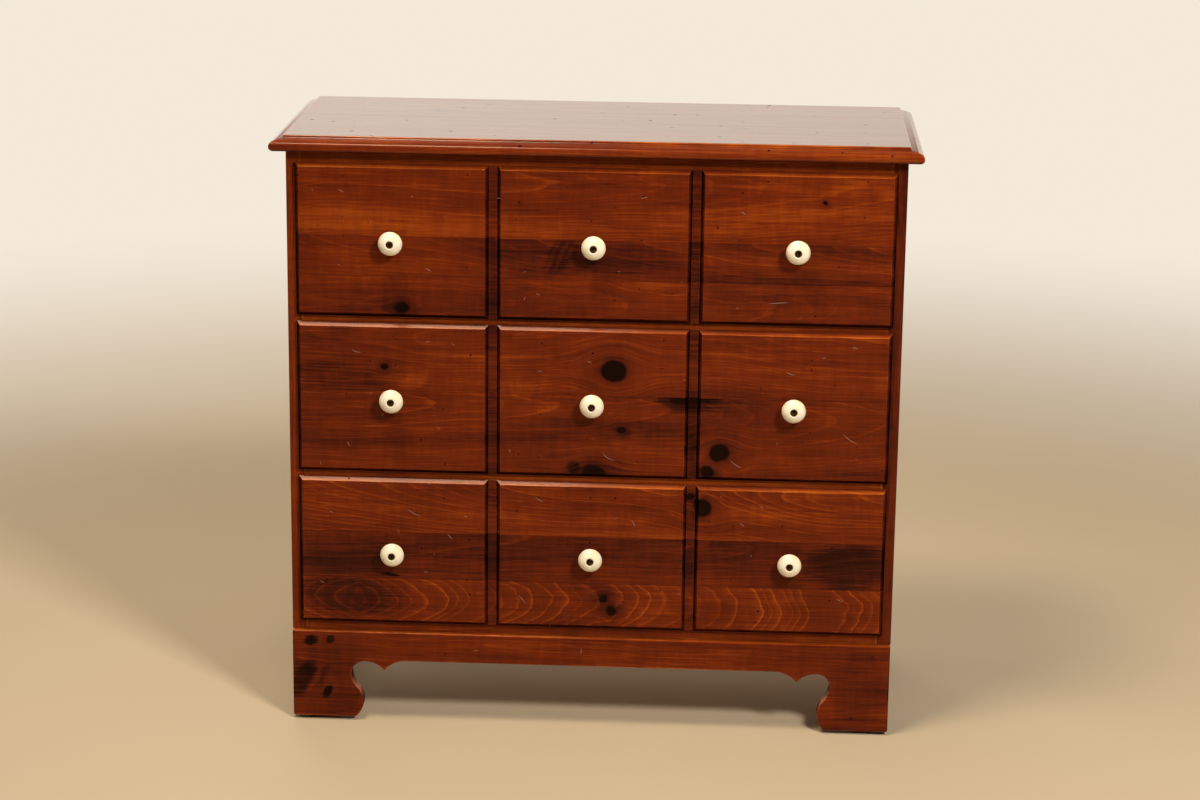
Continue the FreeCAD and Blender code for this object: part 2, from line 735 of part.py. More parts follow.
def make_glides():
    """Round plastic glides, one under each foot."""
    glides = []
    for place, depth in (("front", S.glide_setback), ("rear", S.case_depth - S.glide_rear_setback)):
        for sign in (-1, 1):
            glide = doc.addObject("Part::Cylinder", "glide_%s_%d" % (place, sign + 1))
            bind(glide, {
                "Radius": S.glide_radius,
                "Height": S.glide_height,
                "Placement.Base.x": (case_side - S.glide_inset) * sign,
                "Placement.Base.y": case_front + depth,
            })
            glides.append(glide)
    node("foot_glides", group("glides", glides))


def make_glue_blocks():
    """Square blocks in the corners of the feet and under the bottom rail."""
    notch = S.base_thickness - S.base_proud
    blocks = []
    for place, depth in (("front", (notch, notch + S.block_size)),
                         ("rear", (back_face - S.block_size, back_face))):
        for sign in (-1, 1):
            across = either_side(sign, inner_side - S.block_size, inner_side)
            blocks.append(box("foot_block_%s_%d" % (place, sign + 1), across, depth,
                              (S.glide_height, S.base_height)))
    for index in range(GLUE_BLOCKS_UNDER_RAIL):
        middle = S.rail_block_pitch * (index - (GLUE_BLOCKS_UNDER_RAIL - 1) / 2)
        half = S.rail_block_length / 2
        blocks.append(box("rail_block_%d" % index, (middle - half, middle + half),
                          (notch, notch + S.rail_block_size),
                          (S.base_height - S.rail_block_size, S.base_height)))
    node("glue_blocks", group("blocks", blocks))


def make_top_screws():
    """Countersunk screws from the top frame's rails up into the top board."""
    screws = []
    for place, depth in (("front", S.rail_depth / 2), ("rear", back_face - S.rail_depth / 2)):
        for index in range(SCREWS_PER_RAIL):
            screw = turned_body("top_screw_%s_%d" % (place, index), [
                Corner(ZERO, ZERO), Corner(S.screw_head_radius, ZERO),
                Corner(S.screw_radius, S.screw_head_height), Corner(S.screw_radius, S.screw_length),
                Corner(ZERO, S.screw_length)])
            screw.Placement = FreeCAD.Placement(
                FreeCAD.Vector(), FreeCAD.Rotation(FreeCAD.Vector(1, 0, 0), 90))
            bind(screw, {"Placement.Base.x": S.screw_pitch * (index - (SCREWS_PER_RAIL - 1) / 2),
                         "Placement.Base.y": case_front + depth,
                         "Placement.Base.z": top_rail_bottom})
            screws.append(screw)
    node("top_screws", group("screws", screws))


def make_back_staples():
    """Wire staples through both long edges of the back panel into the sides."""
    edge = inner_side + S.rabbet_width - S.staple_inset
    half_wire = S.staple_wire / 2
    half_crown = S.staple_crown / 2
    pitch = (case_top - S.base_height - S.staple_crown * 3) / (STAPLES_PER_EDGE - 1)
    legs_end = S.case_depth - S.staple_length
    staples = []
    for sign in (-1, 1):
        for index in range(STAPLES_PER_EDGE):
            name = "back_staple_%d_%d" % (sign + 1, index)
            across = (edge * sign - half_wire, edge * sign + half_wire)
            middle = S.base_height + S.staple_crown * 1.5 + pitch * index
            low = (middle - half_crown, middle - half_crown + S.staple_wire)
            high = (middle + half_crown - S.staple_wire, middle + half_crown)
            pieces = [box(name + "_crown", across, (S.case_depth - S.staple_wire, S.case_depth),
                          (middle - half_crown, middle + half_crown))]
            for leg, height in (("low", low), ("high", high)):
                pieces.append(box("%s_%s_leg" % (name, leg), across, (legs_end, S.case_depth), height))
            staples.append(fuse(name, pieces))
    node("back_staples", group("staples", staples))


# ---------------------------------------------------------------- assembly

def make_chest():
    make_top()
    make_base_board()
    make_side("left_side", -1)
    make_side("right_side", 1)
    make_back()
    frames = [("bottom_rail", "bottom_back_rail", "lower_runner_left", "lower_runner_right"),
              ("lower_rail", "lower_back_rail", "middle_runner_left", "middle_runner_right"),
              ("upper_rail", "upper_back_rail", "upper_runner_left", "upper_runner_right")]
    for index, names in enumerate(frames):
        bottom = S.base_height + row_pitch * index
        make_frame(names, bottom, S.rail_thickness)
        make_guide(ROWS[index] + "_guide", bottom + S.rail_thickness)
    make_frame(("top_rail", "top_back_rail", "top_cleat_left", "top_cleat_right"),
               top_rail_bottom, S.top_rail_height)
    for index, row in enumerate(ROWS):
        make_drawer(row, index)
    make_glides()
    make_glue_blocks()
    make_top_screws()
    make_back_staples()


def check_document():
    """Stop on any failed object or bad shape."""
    faults = []
    for thing in doc.Objects:
        if "Invalid" in thing.State or "Error" in thing.State:
            faults.append(thing.Label + " failed to recompute")
    for name, thing in nodes.items():
        if thing.Shape.isNull() or not thing.Shape.isValid() or not thing.Shape.Solids:
            faults.append(name + " has no valid solid")
    if faults:
        raise RuntimeError("; ".join(faults))


make_chest()
doc.recompute()
check_document()
for name, thing in nodes.items():
    thing.Shape.exportStep(os.path.join(OUT, name + ".step"))
print(len(nodes), "nodes,", sum(len(thing.Shape.Solids) for thing in nodes.values()), "solids")
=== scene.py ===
"""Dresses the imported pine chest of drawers.

Every board gets its own grain, knots and stain, the knobs their glaze, the
screws their brass. The floor, the studio light and the camera come last.
All lengths are in metres unless a name or comment says millimetres.
"""

import logging
import math
from collections.abc import Callable
from dataclasses import dataclass
from enum import Enum
from functools import partial

import bmesh
import bpy
from mathutils import Matrix, Vector


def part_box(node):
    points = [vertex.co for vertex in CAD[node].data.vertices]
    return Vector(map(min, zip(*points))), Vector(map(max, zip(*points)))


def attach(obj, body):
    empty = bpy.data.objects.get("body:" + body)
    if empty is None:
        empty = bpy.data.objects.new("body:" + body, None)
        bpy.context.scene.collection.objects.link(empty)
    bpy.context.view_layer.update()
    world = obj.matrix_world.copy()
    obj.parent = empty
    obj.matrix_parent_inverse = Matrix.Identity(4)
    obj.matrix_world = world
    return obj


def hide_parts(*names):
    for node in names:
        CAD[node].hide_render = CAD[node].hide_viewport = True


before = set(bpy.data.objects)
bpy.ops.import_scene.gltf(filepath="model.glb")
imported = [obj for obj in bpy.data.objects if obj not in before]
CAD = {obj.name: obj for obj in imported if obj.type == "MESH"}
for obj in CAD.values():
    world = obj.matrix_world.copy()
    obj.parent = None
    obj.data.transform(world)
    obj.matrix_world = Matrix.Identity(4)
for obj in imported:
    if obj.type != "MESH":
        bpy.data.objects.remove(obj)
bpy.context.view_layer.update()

log = logging.getLogger("chest")

MM = 0.001

MATH = "ShaderNodeMath"
VECTOR = "ShaderNodeVectorMath"
REMAP = "ShaderNodeMapRange"
NOISE = "ShaderNodeTexNoise"
CELLS = "ShaderNodeTexVoronoi"
RAMP = "ShaderNodeValToRGB"
SPLIT = "ShaderNodeSeparateXYZ"
JOIN = "ShaderNodeCombineXYZ"
TURN = "ShaderNodeVectorRotate"
BLEND = "ShaderNodeMix"
PLACE = "ShaderNodeTexCoord"
PATH = "ShaderNodeLightPath"
BUMP = "ShaderNodeBump"
SHADER = "ShaderNodeBsdfPrincipled"
SHARE, UNDER, OVER, MIXED = 0, 6, 7, 2      # sockets of a Mix node that blends two colours

Socket = bpy.types.NodeSocket
Colour = tuple[float, float, float, float]
Triple = tuple[float, float, float]
Add = Callable[..., Socket]     # adds a node to one tree and gives one of its outputs


# ------------------------------------------------------------------ helpers

def linear(hex_colour: str) -> Colour:
    """Turn an sRGB hex colour into the linear colour that shaders take.

    Args:
        hex_colour: Six hex digits with a leading hash sign.

    Returns:
        Linear red, green and blue, and an alpha of one.
    """
    channels = [int(hex_colour[i:i + 2], 16) / 255 for i in (1, 3, 5)]
    red, green, blue = (c / 12.92 if c <= 0.04045 else ((c + 0.055) / 1.055) ** 2.4
                        for c in channels)
    return red, green, blue, 1.0


def add_node(tree: bpy.types.NodeTree, kind: str, inputs: dict | list | None = None,
             out: int | str = 0, stops: tuple = (), **settings: object) -> Socket | None:
    """Add one node with its settings and links.

    Args:
        tree: Node tree that gets the node.
        kind: Type name of the node.
        inputs: Sockets, numbers or hex colours, by input name or number, or in the
            order of the inputs.
        out: Output to hand back, by name or number.
        stops: Positions of a colour ramp, each with its hex colour or grey.
        settings: Properties of the node.

    Returns:
        The chosen output socket, or None if the node has none.
    """
    node = tree.nodes.new(kind)
    for name, value in settings.items():
        setattr(node, name, value)
    given = inputs.items() if isinstance(inputs, dict) else enumerate(inputs or [])
    for key, value in given:
        if isinstance(value, bpy.types.NodeSocket):
            tree.links.new(value, node.inputs[key])
        else:
            node.inputs[key].default_value = linear(value) if isinstance(value, str) else value
    for index, (position, tint) in enumerate(stops):
        elements = node.color_ramp.elements
        stop = elements[index] if index < 2 else elements.new(position)
        stop.position = position
        stop.color = linear(tint) if isinstance(tint, str) else (tint, tint, tint, 1.0)
    return node.outputs[out] if len(node.outputs) else None


def dress(thing: bpy.types.Object, *materials: bpy.types.Material) -> None:
    """Put materials in the slots of an object.

    Args:
        thing: Object to dress.
        materials: Its materials, the one of most faces first.
    """
    thing.data.materials.clear()
    for material in materials:
        thing.data.materials.append(material)


def link_mesh(mesh: bpy.types.Mesh) -> bpy.types.Object:
    """Put a mesh in the scene.

    Args:
        mesh: The mesh.

    Returns:
        A new object with the name of the mesh.
    """
    thing = bpy.data.objects.new(mesh.name, mesh)
    bpy.context.scene.collection.objects.link(thing)
    return thing


def place_piece(thing: bpy.types.Object, body: str, node: str) -> None:
    """Attach a new piece to the body that it moves with, and hide the node that it stands for.

    Args:
        thing: The new piece.
        body: Body that it moves with.
        node: Node that it stands for.
    """
    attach(thing, body)
    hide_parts(node)
    log.info("%s on %s, %d faces", thing.name, body, len(thing.data.polygons))


def paint(thing: bpy.types.Object, index: int,
          chosen: Callable[[bpy.types.MeshPolygon], bool]) -> None:
    """Give another of its materials to some faces of a piece.

    Args:
        thing: Piece with several materials.
        index: Place of the material in the piece's list.
        chosen: Test that picks the faces.
    """
    for face in thing.data.polygons:
        if face.material_index == 0 and chosen(face):
            face.material_index = index


def looks_sideways_or_down(face: bpy.types.MeshPolygon) -> bool:
    """Tell whether a face looks sideways or down, out of reach of a polishing cloth; such faces
    get painted shade.
    """
    return abs(face.normal.y) < 0.9 and face.normal.z < 0.3


# ------------------------------------------------------------------ wood

class Way(Enum):
    """Axes of the chest that run along, across and through a board."""

    FRONT = ("X", "Z", "Y")     # drawer fronts and backs, base board, rails
    UPRIGHT = ("Z", "Y", "X")   # sides, glue blocks
    FLAT = ("X", "Y", "Z")      # top, drawer bottoms
    DEPTH = ("Y", "Z", "X")     # drawer sides
    RUNNER = ("Y", "X", "Z")    # runners, cleats, grooved strips
    BACK = ("Z", "X", "Y")      # back of the case


@dataclass(frozen=True)
class Board:
    """One board of a glued-up panel, in millimetres."""

    edge: float = 9999.0    # upper edge, across the panel
    pith: float = 0.0       # heart of the tree, across the panel
    depth: float = 45.0     # heart of the tree, behind the show face
    taper: float = 0.02     # how fast the heart comes nearer along the board
    tone: float = 0.0       # lighter or darker than the stain's middle
    rings: float = 0.14     # how plainly the pale late wood shows
    nearest: float = -9999.0    # place along the board where the taper turns, which draws an eye


@dataclass(frozen=True)
class Knot:
    """A knot, in millimetres."""

    along: float
    across: float
    length: float
    height: float


@dataclass(frozen=True)
class TonePatch:
    """A soft darker or lighter patch, in millimetres and degrees; most are figure in the wood, two
    are painted light.
    """

    along: float
    across: float
    length: float
    height: float
    turn: float
    tone: float
    between: tuple[float, float] | None = None      # glue lines that end it


@dataclass(frozen=True)
class Nick:
    """A dent of the distressing, in millimetres and degrees."""

    along: float
    across: float
    length: float
    turn: float
    bow: float = 0.03       # how much it bends, per millimetre


@dataclass(frozen=True)
class GlazeAndShade:
    """Dark glaze that hangs in a groove or on its slopes, with painted shade there, in
    millimetres.
    """

    through: float          # middle of the groove, through the panel
    spread: float           # how far the glaze and its painted shade reach
    tone: float
    on_flat: float = 0.3    # share of it that is left on faces parallel to the show face


@dataclass(frozen=True)
class Panel:
    """A glued-up panel with all that its wood shows."""

    way: Way
    boards: tuple[Board, ...] = (Board(),)
    knots: tuple[Knot, ...] = ()
    tone_patches: tuple[TonePatch, ...] = ()
    nicks: tuple[Nick, ...] = ()
    face: float = 0.0       # show face, through the panel, in millimetres
    seed: float = 0.0
    glazes_and_shade: tuple[GlazeAndShade, ...] = ()
    speckled: bool = True
    pits: float = 1.3       # radius of the largest dark specks, in millimetres
    pitted: float = 0.55    # share of the places that have a speck


class PineGrain:
    """Works out rings, fibres, knots and marks of a panel as numbers of a node tree."""

    RING = 3.2              # mm, growth ring of slow-grown pine
    GOOD_YEARS = 11.0       # mm, over which wide and narrow rings take turns
    STRIPE = 19.0           # mm, over which dark and pale years take turns
    FIBRE = 1.9             # mm, drawn coarser than the real 0.05 mm, which wouldn't show
    STRAY = (60.0, 24.0)    # mm, how far the heart strays sideways and in depth
    RIPPLE = (7.0, 3.0)     # mm, small waves of the rings sideways and in depth
    UNEVEN = 7.0            # mm, how far the outline of a knot or patch wanders
    HALF_DENT = 0.5         # mm, half the width of a dent
    DENTS_APART = 74.0      # mm
    SPECKS_APART = 31.0     # mm
    # Share of each wave in the tone; that of the late wood is the board's own
    SHARES = {"stripes": 0.24, "fibres": 0.38, "streaks": 0.30, "clouds": 0.30, "curl": 0.13}
    # Across a knot: dark heart with its own rings, darker bark ring, bent grain round it
    KNOT_STOPS = ((0.0, 0.66), (0.06, 0.74), (0.10, 0.60), (0.14, 0.70), (0.19, 0.76),
                  (0.22, 0.95), (0.245, 0.97), (0.265, 0.60), (0.285, 0.40), (0.33, 0.22),
                  (0.46, 0.12), (0.7, 0.05), (1.0, 0.0))
    KNOT_SPAN = 3.6         # knot radii that those stops span
    KNOT_PULL = 5.0         # knot radii over which the grain bends round it

    def __init__(self, add: Add, panel: Panel) -> None:
        """Build the whole pattern.

        Args:
            add: Adds a node to the tree that gets the pattern.
            panel: Panel to draw.
        """
        self.add = add
        self.panel = panel
        self.place()
        self.choose_board()
        self.set_knots()
        self.draw_rings()
        self.draw_fibres()
        self.draw_tone_patches()
        self.dents: Socket | None = None
        self.specks: Socket | None = None
        if panel.speckled:
            self.draw_nicks()
            self.draw_specks()
        self.sum_up()

    def place(self) -> None:
        """Turn object coordinates into millimetres along, across and through the board."""
        there = self.add(PLACE, out="Object")
        scaled = self.add(VECTOR, {0: there, "Scale": 1 / MM}, operation="SCALE")
        axes = self.add(SPLIT, [scaled]).node
        along, across, through = (axes.outputs[name] for name in self.panel.way.value)
        self.along, self.across, self.through = along, across, through
        self.flat = self.add(JOIN, [along, across, 0.0])
        self.solid = self.add(JOIN, [along, across, through])
        # Thumb-sized wobble, so that no knot or patch is a clean ellipse
        wobble = self.add(NOISE, {"Vector": self.solid, "Scale": 1 / 22, "Detail": 2.0},
                          out="Color")
        centred = self.add(VECTOR, [wobble, (0.5, 0.5, 0.5)], operation="SUBTRACT")
        self.uneven = self.add(VECTOR, [centred, (self.UNEVEN, self.UNEVEN, 0.0), self.flat],
                               operation="MULTIPLY_ADD")

    def choose_board(self) -> None:
        """Pick the numbers of the board that a point lies in."""
        add = self.add
        boards = self.panel.boards
        first = boards[0]
        heart = add(JOIN, [first.pith, first.depth, first.taper])
        tint = add(JOIN, [first.tone, self.panel.seed, first.rings])
        eye = add(JOIN, [first.nearest, abs(first.nearest), 0.0])
        self.glue = None
        for index, (lower, upper) in enumerate(zip(boards, boards[1:])):
            above = add(MATH, [self.across, lower.edge], operation="GREATER_THAN")
            change = (upper.pith - lower.pith, upper.depth - lower.depth,
                      upper.taper - lower.taper)
            heart = add(VECTOR, [above, change, heart], operation="MULTIPLY_ADD")
            change = (upper.tone - lower.tone, 3.7 + index, upper.rings - lower.rings)
            tint = add(VECTOR, [above, change, tint], operation="MULTIPLY_ADD")
            change = (upper.nearest - lower.nearest, abs(upper.nearest) - abs(lower.nearest), 0.0)
            eye = add(VECTOR, [above, change, eye], operation="MULTIPLY_ADD")
            line = add(MATH, [self.across, lower.edge, 0.35], operation="COMPARE")
            self.glue = add(MATH, [self.glue, line], operation="MAXIMUM") if self.glue else line
        self.tone, self.seed, self.rings = add(SPLIT, [tint]).node.outputs
        self.pith, self.depth, self.taper = add(SPLIT, [heart]).node.outputs
        self.turning, self.start, _ = add(SPLIT, [eye]).node.outputs

    def set_knots(self) -> None:
        """Find the nearest knot and bend the grain round every one."""
        add = self.add
        self.bent = self.across
        self.nearest = None
        for knot in self.panel.knots:
            away = add(VECTOR, [self.uneven, (knot.along, knot.across, 0.0)],
                       operation="SUBTRACT")
            sized = add(VECTOR, [away, (1 / knot.length, 1 / knot.height, 0.0)],
                        operation="MULTIPLY")
            reach = add(VECTOR, [sized], out="Value", operation="LENGTH")
            pull = add(REMAP, [reach, 0.0, self.KNOT_PULL, 0.92, 0.0],
                       interpolation_type="SMOOTHERSTEP")
            off = add(MATH, [self.bent, knot.across], operation="SUBTRACT")
            moved = add(MATH, [off, pull], operation="MULTIPLY")
            self.bent = add(MATH, [self.bent, moved], operation="SUBTRACT")
            self.nearest = (add(MATH, [self.nearest, reach], operation="MINIMUM")
                            if self.nearest else reach)

    def draw_rings(self) -> None:
        """Cut the rings of the tree with the face of the board."""
        add = self.add
        # The heart strays over 420 mm along the board, the rings ripple over 60 mm
        at = add(VECTOR, [self.solid, (1 / 420, 1 / 900, 1 / 900)], operation="MULTIPLY")
        at = add(VECTOR, [at, add(JOIN, [0.0, self.seed, 0.0])], operation="ADD")
        drift = add(NOISE, {"Vector": at, "Scale": 1.0, "Detail": 2.0, "Roughness": 0.45},
                    out="Color")
        drift = add(SPLIT, [drift]).node.outputs
        at = add(VECTOR, [self.solid, (1 / 60, 1 / 22, 1 / 22)], operation="MULTIPLY")
        waves = add(NOISE, {"Vector": at, "Scale": 1.0, "Detail": 2.0, "Roughness": 0.5})
        sideways = add(MATH, [drift[0], self.STRAY[0], self.pith], operation="MULTIPLY_ADD")
        sideways = add(MATH, [self.bent, sideways], operation="SUBTRACT")
        sideways = add(MATH, [waves, self.RIPPLE[0], sideways], operation="MULTIPLY_ADD")
        off = add(MATH, [self.along, self.turning], operation="SUBTRACT")
        off = add(MATH, [add(MATH, [off], operation="ABSOLUTE"), self.start],
                  operation="SUBTRACT")
        behind = add(MATH, [self.taper, off, self.depth], operation="MULTIPLY_ADD")
        behind = add(MATH, [drift[1], self.STRAY[1], behind], operation="MULTIPLY_ADD")
        behind = add(MATH, [waves, self.RIPPLE[1], behind], operation="MULTIPLY_ADD")
        inward = add(MATH, [self.through, self.panel.face], operation="SUBTRACT")
        behind = add(MATH, [behind, inward], operation="SUBTRACT")
        spoke = add(JOIN, [sideways, behind, 0.0])
        radius = add(VECTOR, [spoke], out="Value", operation="LENGTH")
        at = add(MATH, [radius, 1 / self.GOOD_YEARS], operation="MULTIPLY")
        uneven_years = add(NOISE, {"W": at, "Scale": 1.0, "Detail": 1.0}, noise_dimensions="1D")
        years = add(MATH, [radius, 1 / self.RING], operation="MULTIPLY")
        years = add(MATH, [uneven_years, 2.4, years], operation="MULTIPLY_ADD")
        part = add(MATH, [years], operation="FRACT")
        # Through one year: early wood, slowly denser, then the hard line and a sudden end
        line = add(RAMP, [part], stops=((0.0, 0.0), (0.5, 0.10), (0.78, 0.32), (0.9, 1.0),
                                        (0.96, 1.0), (1.0, 0.0)))
        year = add(MATH, [years], operation="FLOOR")
        strength = add("ShaderNodeTexWhiteNoise", {"W": year}, noise_dimensions="1D")
        strength = add(REMAP, [strength, 0.0, 1.0, 0.25, 1.0])
        self.late = add(MATH, [line, strength], operation="MULTIPLY")
        # Slow swing of dark and pale years, which reads as the board's broad stripes
        at = add(MATH, [radius, 1 / self.STRIPE], operation="MULTIPLY")
        swing = add(NOISE, {"W": at, "Scale": 1.0, "Detail": 0.0}, noise_dimensions="1D")
        self.stripes = add(MATH, [swing, 0.5], operation="SUBTRACT")

    def draw_fibres(self) -> None:
        """Draw fine fibres, long streaks, the cloudy take-up of the stain and a faint curl."""
        lined = self.add(JOIN, [self.along, self.bent, self.through])
        # Size along and across the board, in millimetres, and depth of detail
        sizes = {"fibres": (60, self.FIBRE, 3.0), "streaks": (240, 9, 2.0),
                 "clouds": (95, 42, 3.0), "curl": (9, 38, 1.0)}
        for name, (long, wide, detail) in sizes.items():
            at = self.add(VECTOR, [lined, (1 / long, 1 / wide, 1 / wide)], operation="MULTIPLY")
            shift = self.add(JOIN, [self.seed, 0.0, 0.0])
            at = self.add(VECTOR, [at, shift], operation="ADD")
            wave = self.add(NOISE, {"Vector": at, "Scale": 1.0, "Detail": detail,
                                    "Roughness": 0.6})
            setattr(self, name, self.add(MATH, [wave, 0.5], operation="SUBTRACT"))

    def draw_tone_patches(self) -> None:
        """Add up the soft patches."""
        add = self.add
        self.patches = None
        for patch in self.panel.tone_patches:
            away = add(VECTOR, [self.uneven, (patch.along, patch.across, 0.0)],
                       operation="SUBTRACT")
            turned = add(TURN, {"Vector": away, "Angle": -math.radians(patch.turn)},
                         rotation_type="Z_AXIS")
            sized = add(VECTOR, [turned, (1 / patch.length, 1 / patch.height, 0.0)],
                        operation="MULTIPLY")
            reach = add(VECTOR, [sized], out="Value", operation="LENGTH")
            ragged = add(MATH, [self.fibres, 0.9, reach], operation="MULTIPLY_ADD")
            shade = add(REMAP, [ragged, 0.55, 1.15, patch.tone, 0.0],
                        interpolation_type="SMOOTHSTEP")
            if patch.between:
                low, high = patch.between
                inside = add(MATH, [self.across, (low + high) / 2, (high - low) / 2],
                             operation="COMPARE")
                shade = add(MATH, [shade, inside], operation="MULTIPLY")
            self.patches = (add(MATH, [self.patches, shade], operation="ADD")
                            if self.patches else shade)

    def cut_nick(self, away: Socket, turn: Socket | float, half_length: Socket | float,
                 bow: float) -> Socket:
        """Draw one bowed dent.

        Args:
            away: Place of the point as seen from the middle of the dent.
            turn: Angle of the dent in radians.
            half_length: Half the length of the dent in millimetres.
            bow: How much the dent bends, per millimetre.

        Returns:
            One inside the dent and nought outside.
        """
        add = self.add
        turned = add(TURN, {"Vector": away, "Angle": turn}, rotation_type="Z_AXIS")
        along, across, _ = add(SPLIT, [turned]).node.outputs
        square = add(MATH, [along, along], operation="MULTIPLY")
        height = add(MATH, [square, bow, across], operation="MULTIPLY_ADD")
        height = add(MATH, [height, self.HALF_DENT], operation="DIVIDE")
        length = add(MATH, [along, half_length], operation="DIVIDE")
        reach = add(VECTOR, [add(JOIN, [length, height, 0.0])], out="Value", operation="LENGTH")
        return add(REMAP, [reach, 0.7, 1.15, 1.0, 0.0])

    def draw_nicks(self) -> None:
        """Dent the face, here and there at random and in the named places."""
        add = self.add
        mark = add(CELLS, {"Vector": self.flat, "Scale": 1 / self.DENTS_APART, "Randomness": 1.0},
                   voronoi_dimensions="2D").node.outputs
        chance = add(SPLIT, [mark["Color"]]).node.outputs
        away = add(VECTOR, [self.flat, mark["Position"]], operation="SUBTRACT")
        turn = add(MATH, [chance[0], 6.28], operation="MULTIPLY")
        length = add(REMAP, [chance[1], 0.0, 1.0, 1.0, 3.2])
        small = self.cut_nick(away, turn, length, 0.05)
        kept = add(REMAP, [chance[2], 0.45, 0.8, 0.0, 0.7])
        self.dents = add(MATH, [small, kept], operation="MULTIPLY")
        for nick in self.panel.nicks:
            away = add(VECTOR, [self.flat, (nick.along, nick.across, 0.0)], operation="SUBTRACT")
            mask = self.cut_nick(away, -math.radians(nick.turn), nick.length / 2, nick.bow)
            self.dents = add(MATH, [self.dents, mask], operation="MAXIMUM")

    def draw_specks(self) -> None:
        """Prick the face with dark specks, as worm holes and a wire brush leave them."""
        add = self.add
        apart = self.SPECKS_APART
        dot = add(CELLS, {"Vector": self.flat, "Scale": 1 / apart, "Randomness": 1.0},
                  voronoi_dimensions="2D").node.outputs
        size = add(SPLIT, [dot["Color"]])
        limit = add(REMAP, [size, 1.0 - self.panel.pitted, 1.0, 0.0, self.panel.pits / apart])
        edge = add(MATH, [limit, dot["Distance"]], operation="SUBTRACT")
        self.specks = add(REMAP, [edge, -0.004, 0.012, 0.0, 1.0])

    def sum_up(self) -> None:
        """Mix all that into one tone and one height."""
        add = self.add
        tone = add(MATH, [self.late, self.rings, self.tone], operation="MULTIPLY_ADD")
        for name, share in self.SHARES.items():
            tone = add(MATH, [getattr(self, name), share, tone], operation="MULTIPLY_ADD")
        if self.patches:
            tone = add(MATH, [tone, self.patches], operation="ADD")
        if self.glue:
            tone = add(MATH, [self.glue, -0.10, tone], operation="MULTIPLY_ADD")
        if self.nearest:
            reach = add(MATH, [self.nearest, 1 / self.KNOT_SPAN], operation="MULTIPLY")
            core = add(RAMP, [reach], stops=self.KNOT_STOPS)
            tone = add(MATH, [core, -0.85, tone], operation="MULTIPLY_ADD")
        self.tone = tone
        self.height = add(MATH, [self.late, 0.5, self.fibres], operation="MULTIPLY_ADD")
        if self.dents:
            for marks, drop in ((self.dents, -7.0), (self.specks, -2.5)):
                self.height = add(MATH, [marks, drop, self.height], operation="MULTIPLY_ADD")


# ------------------------------------------------------------------ finishes

class Finish:
    """A finish that becomes a node material."""

    NAME = ""       # the real material and how its surface was made

    def build(self, piece: str = "", *drawn: Panel) -> bpy.types.Material:
        """Make the material.

        Args:
            piece: Piece that it is for, where each piece has its own.
            drawn: Panel that it shows, for the pine finishes.

        Returns:
            The finished material.
        """
        material = bpy.data.materials.new(self.NAME + piece)
        material.use_nodes = True
        tree = material.node_tree
        tree.nodes.clear()
        surface = self.surface(partial(add_node, tree), *drawn)
        add_node(tree, "ShaderNodeOutputMaterial", {"Surface": surface})
        return material

    def surface(self, add: Add, *drawn: Panel) -> Socket:
        """Draw the surface; each finish has its own way.

        Args:
            add: Adds a node to the material.
            drawn: Panel that it shows, for the pine finishes.

        Returns:
            The shader's output.
        """
        raise NotImplementedError(type(self).__name__)


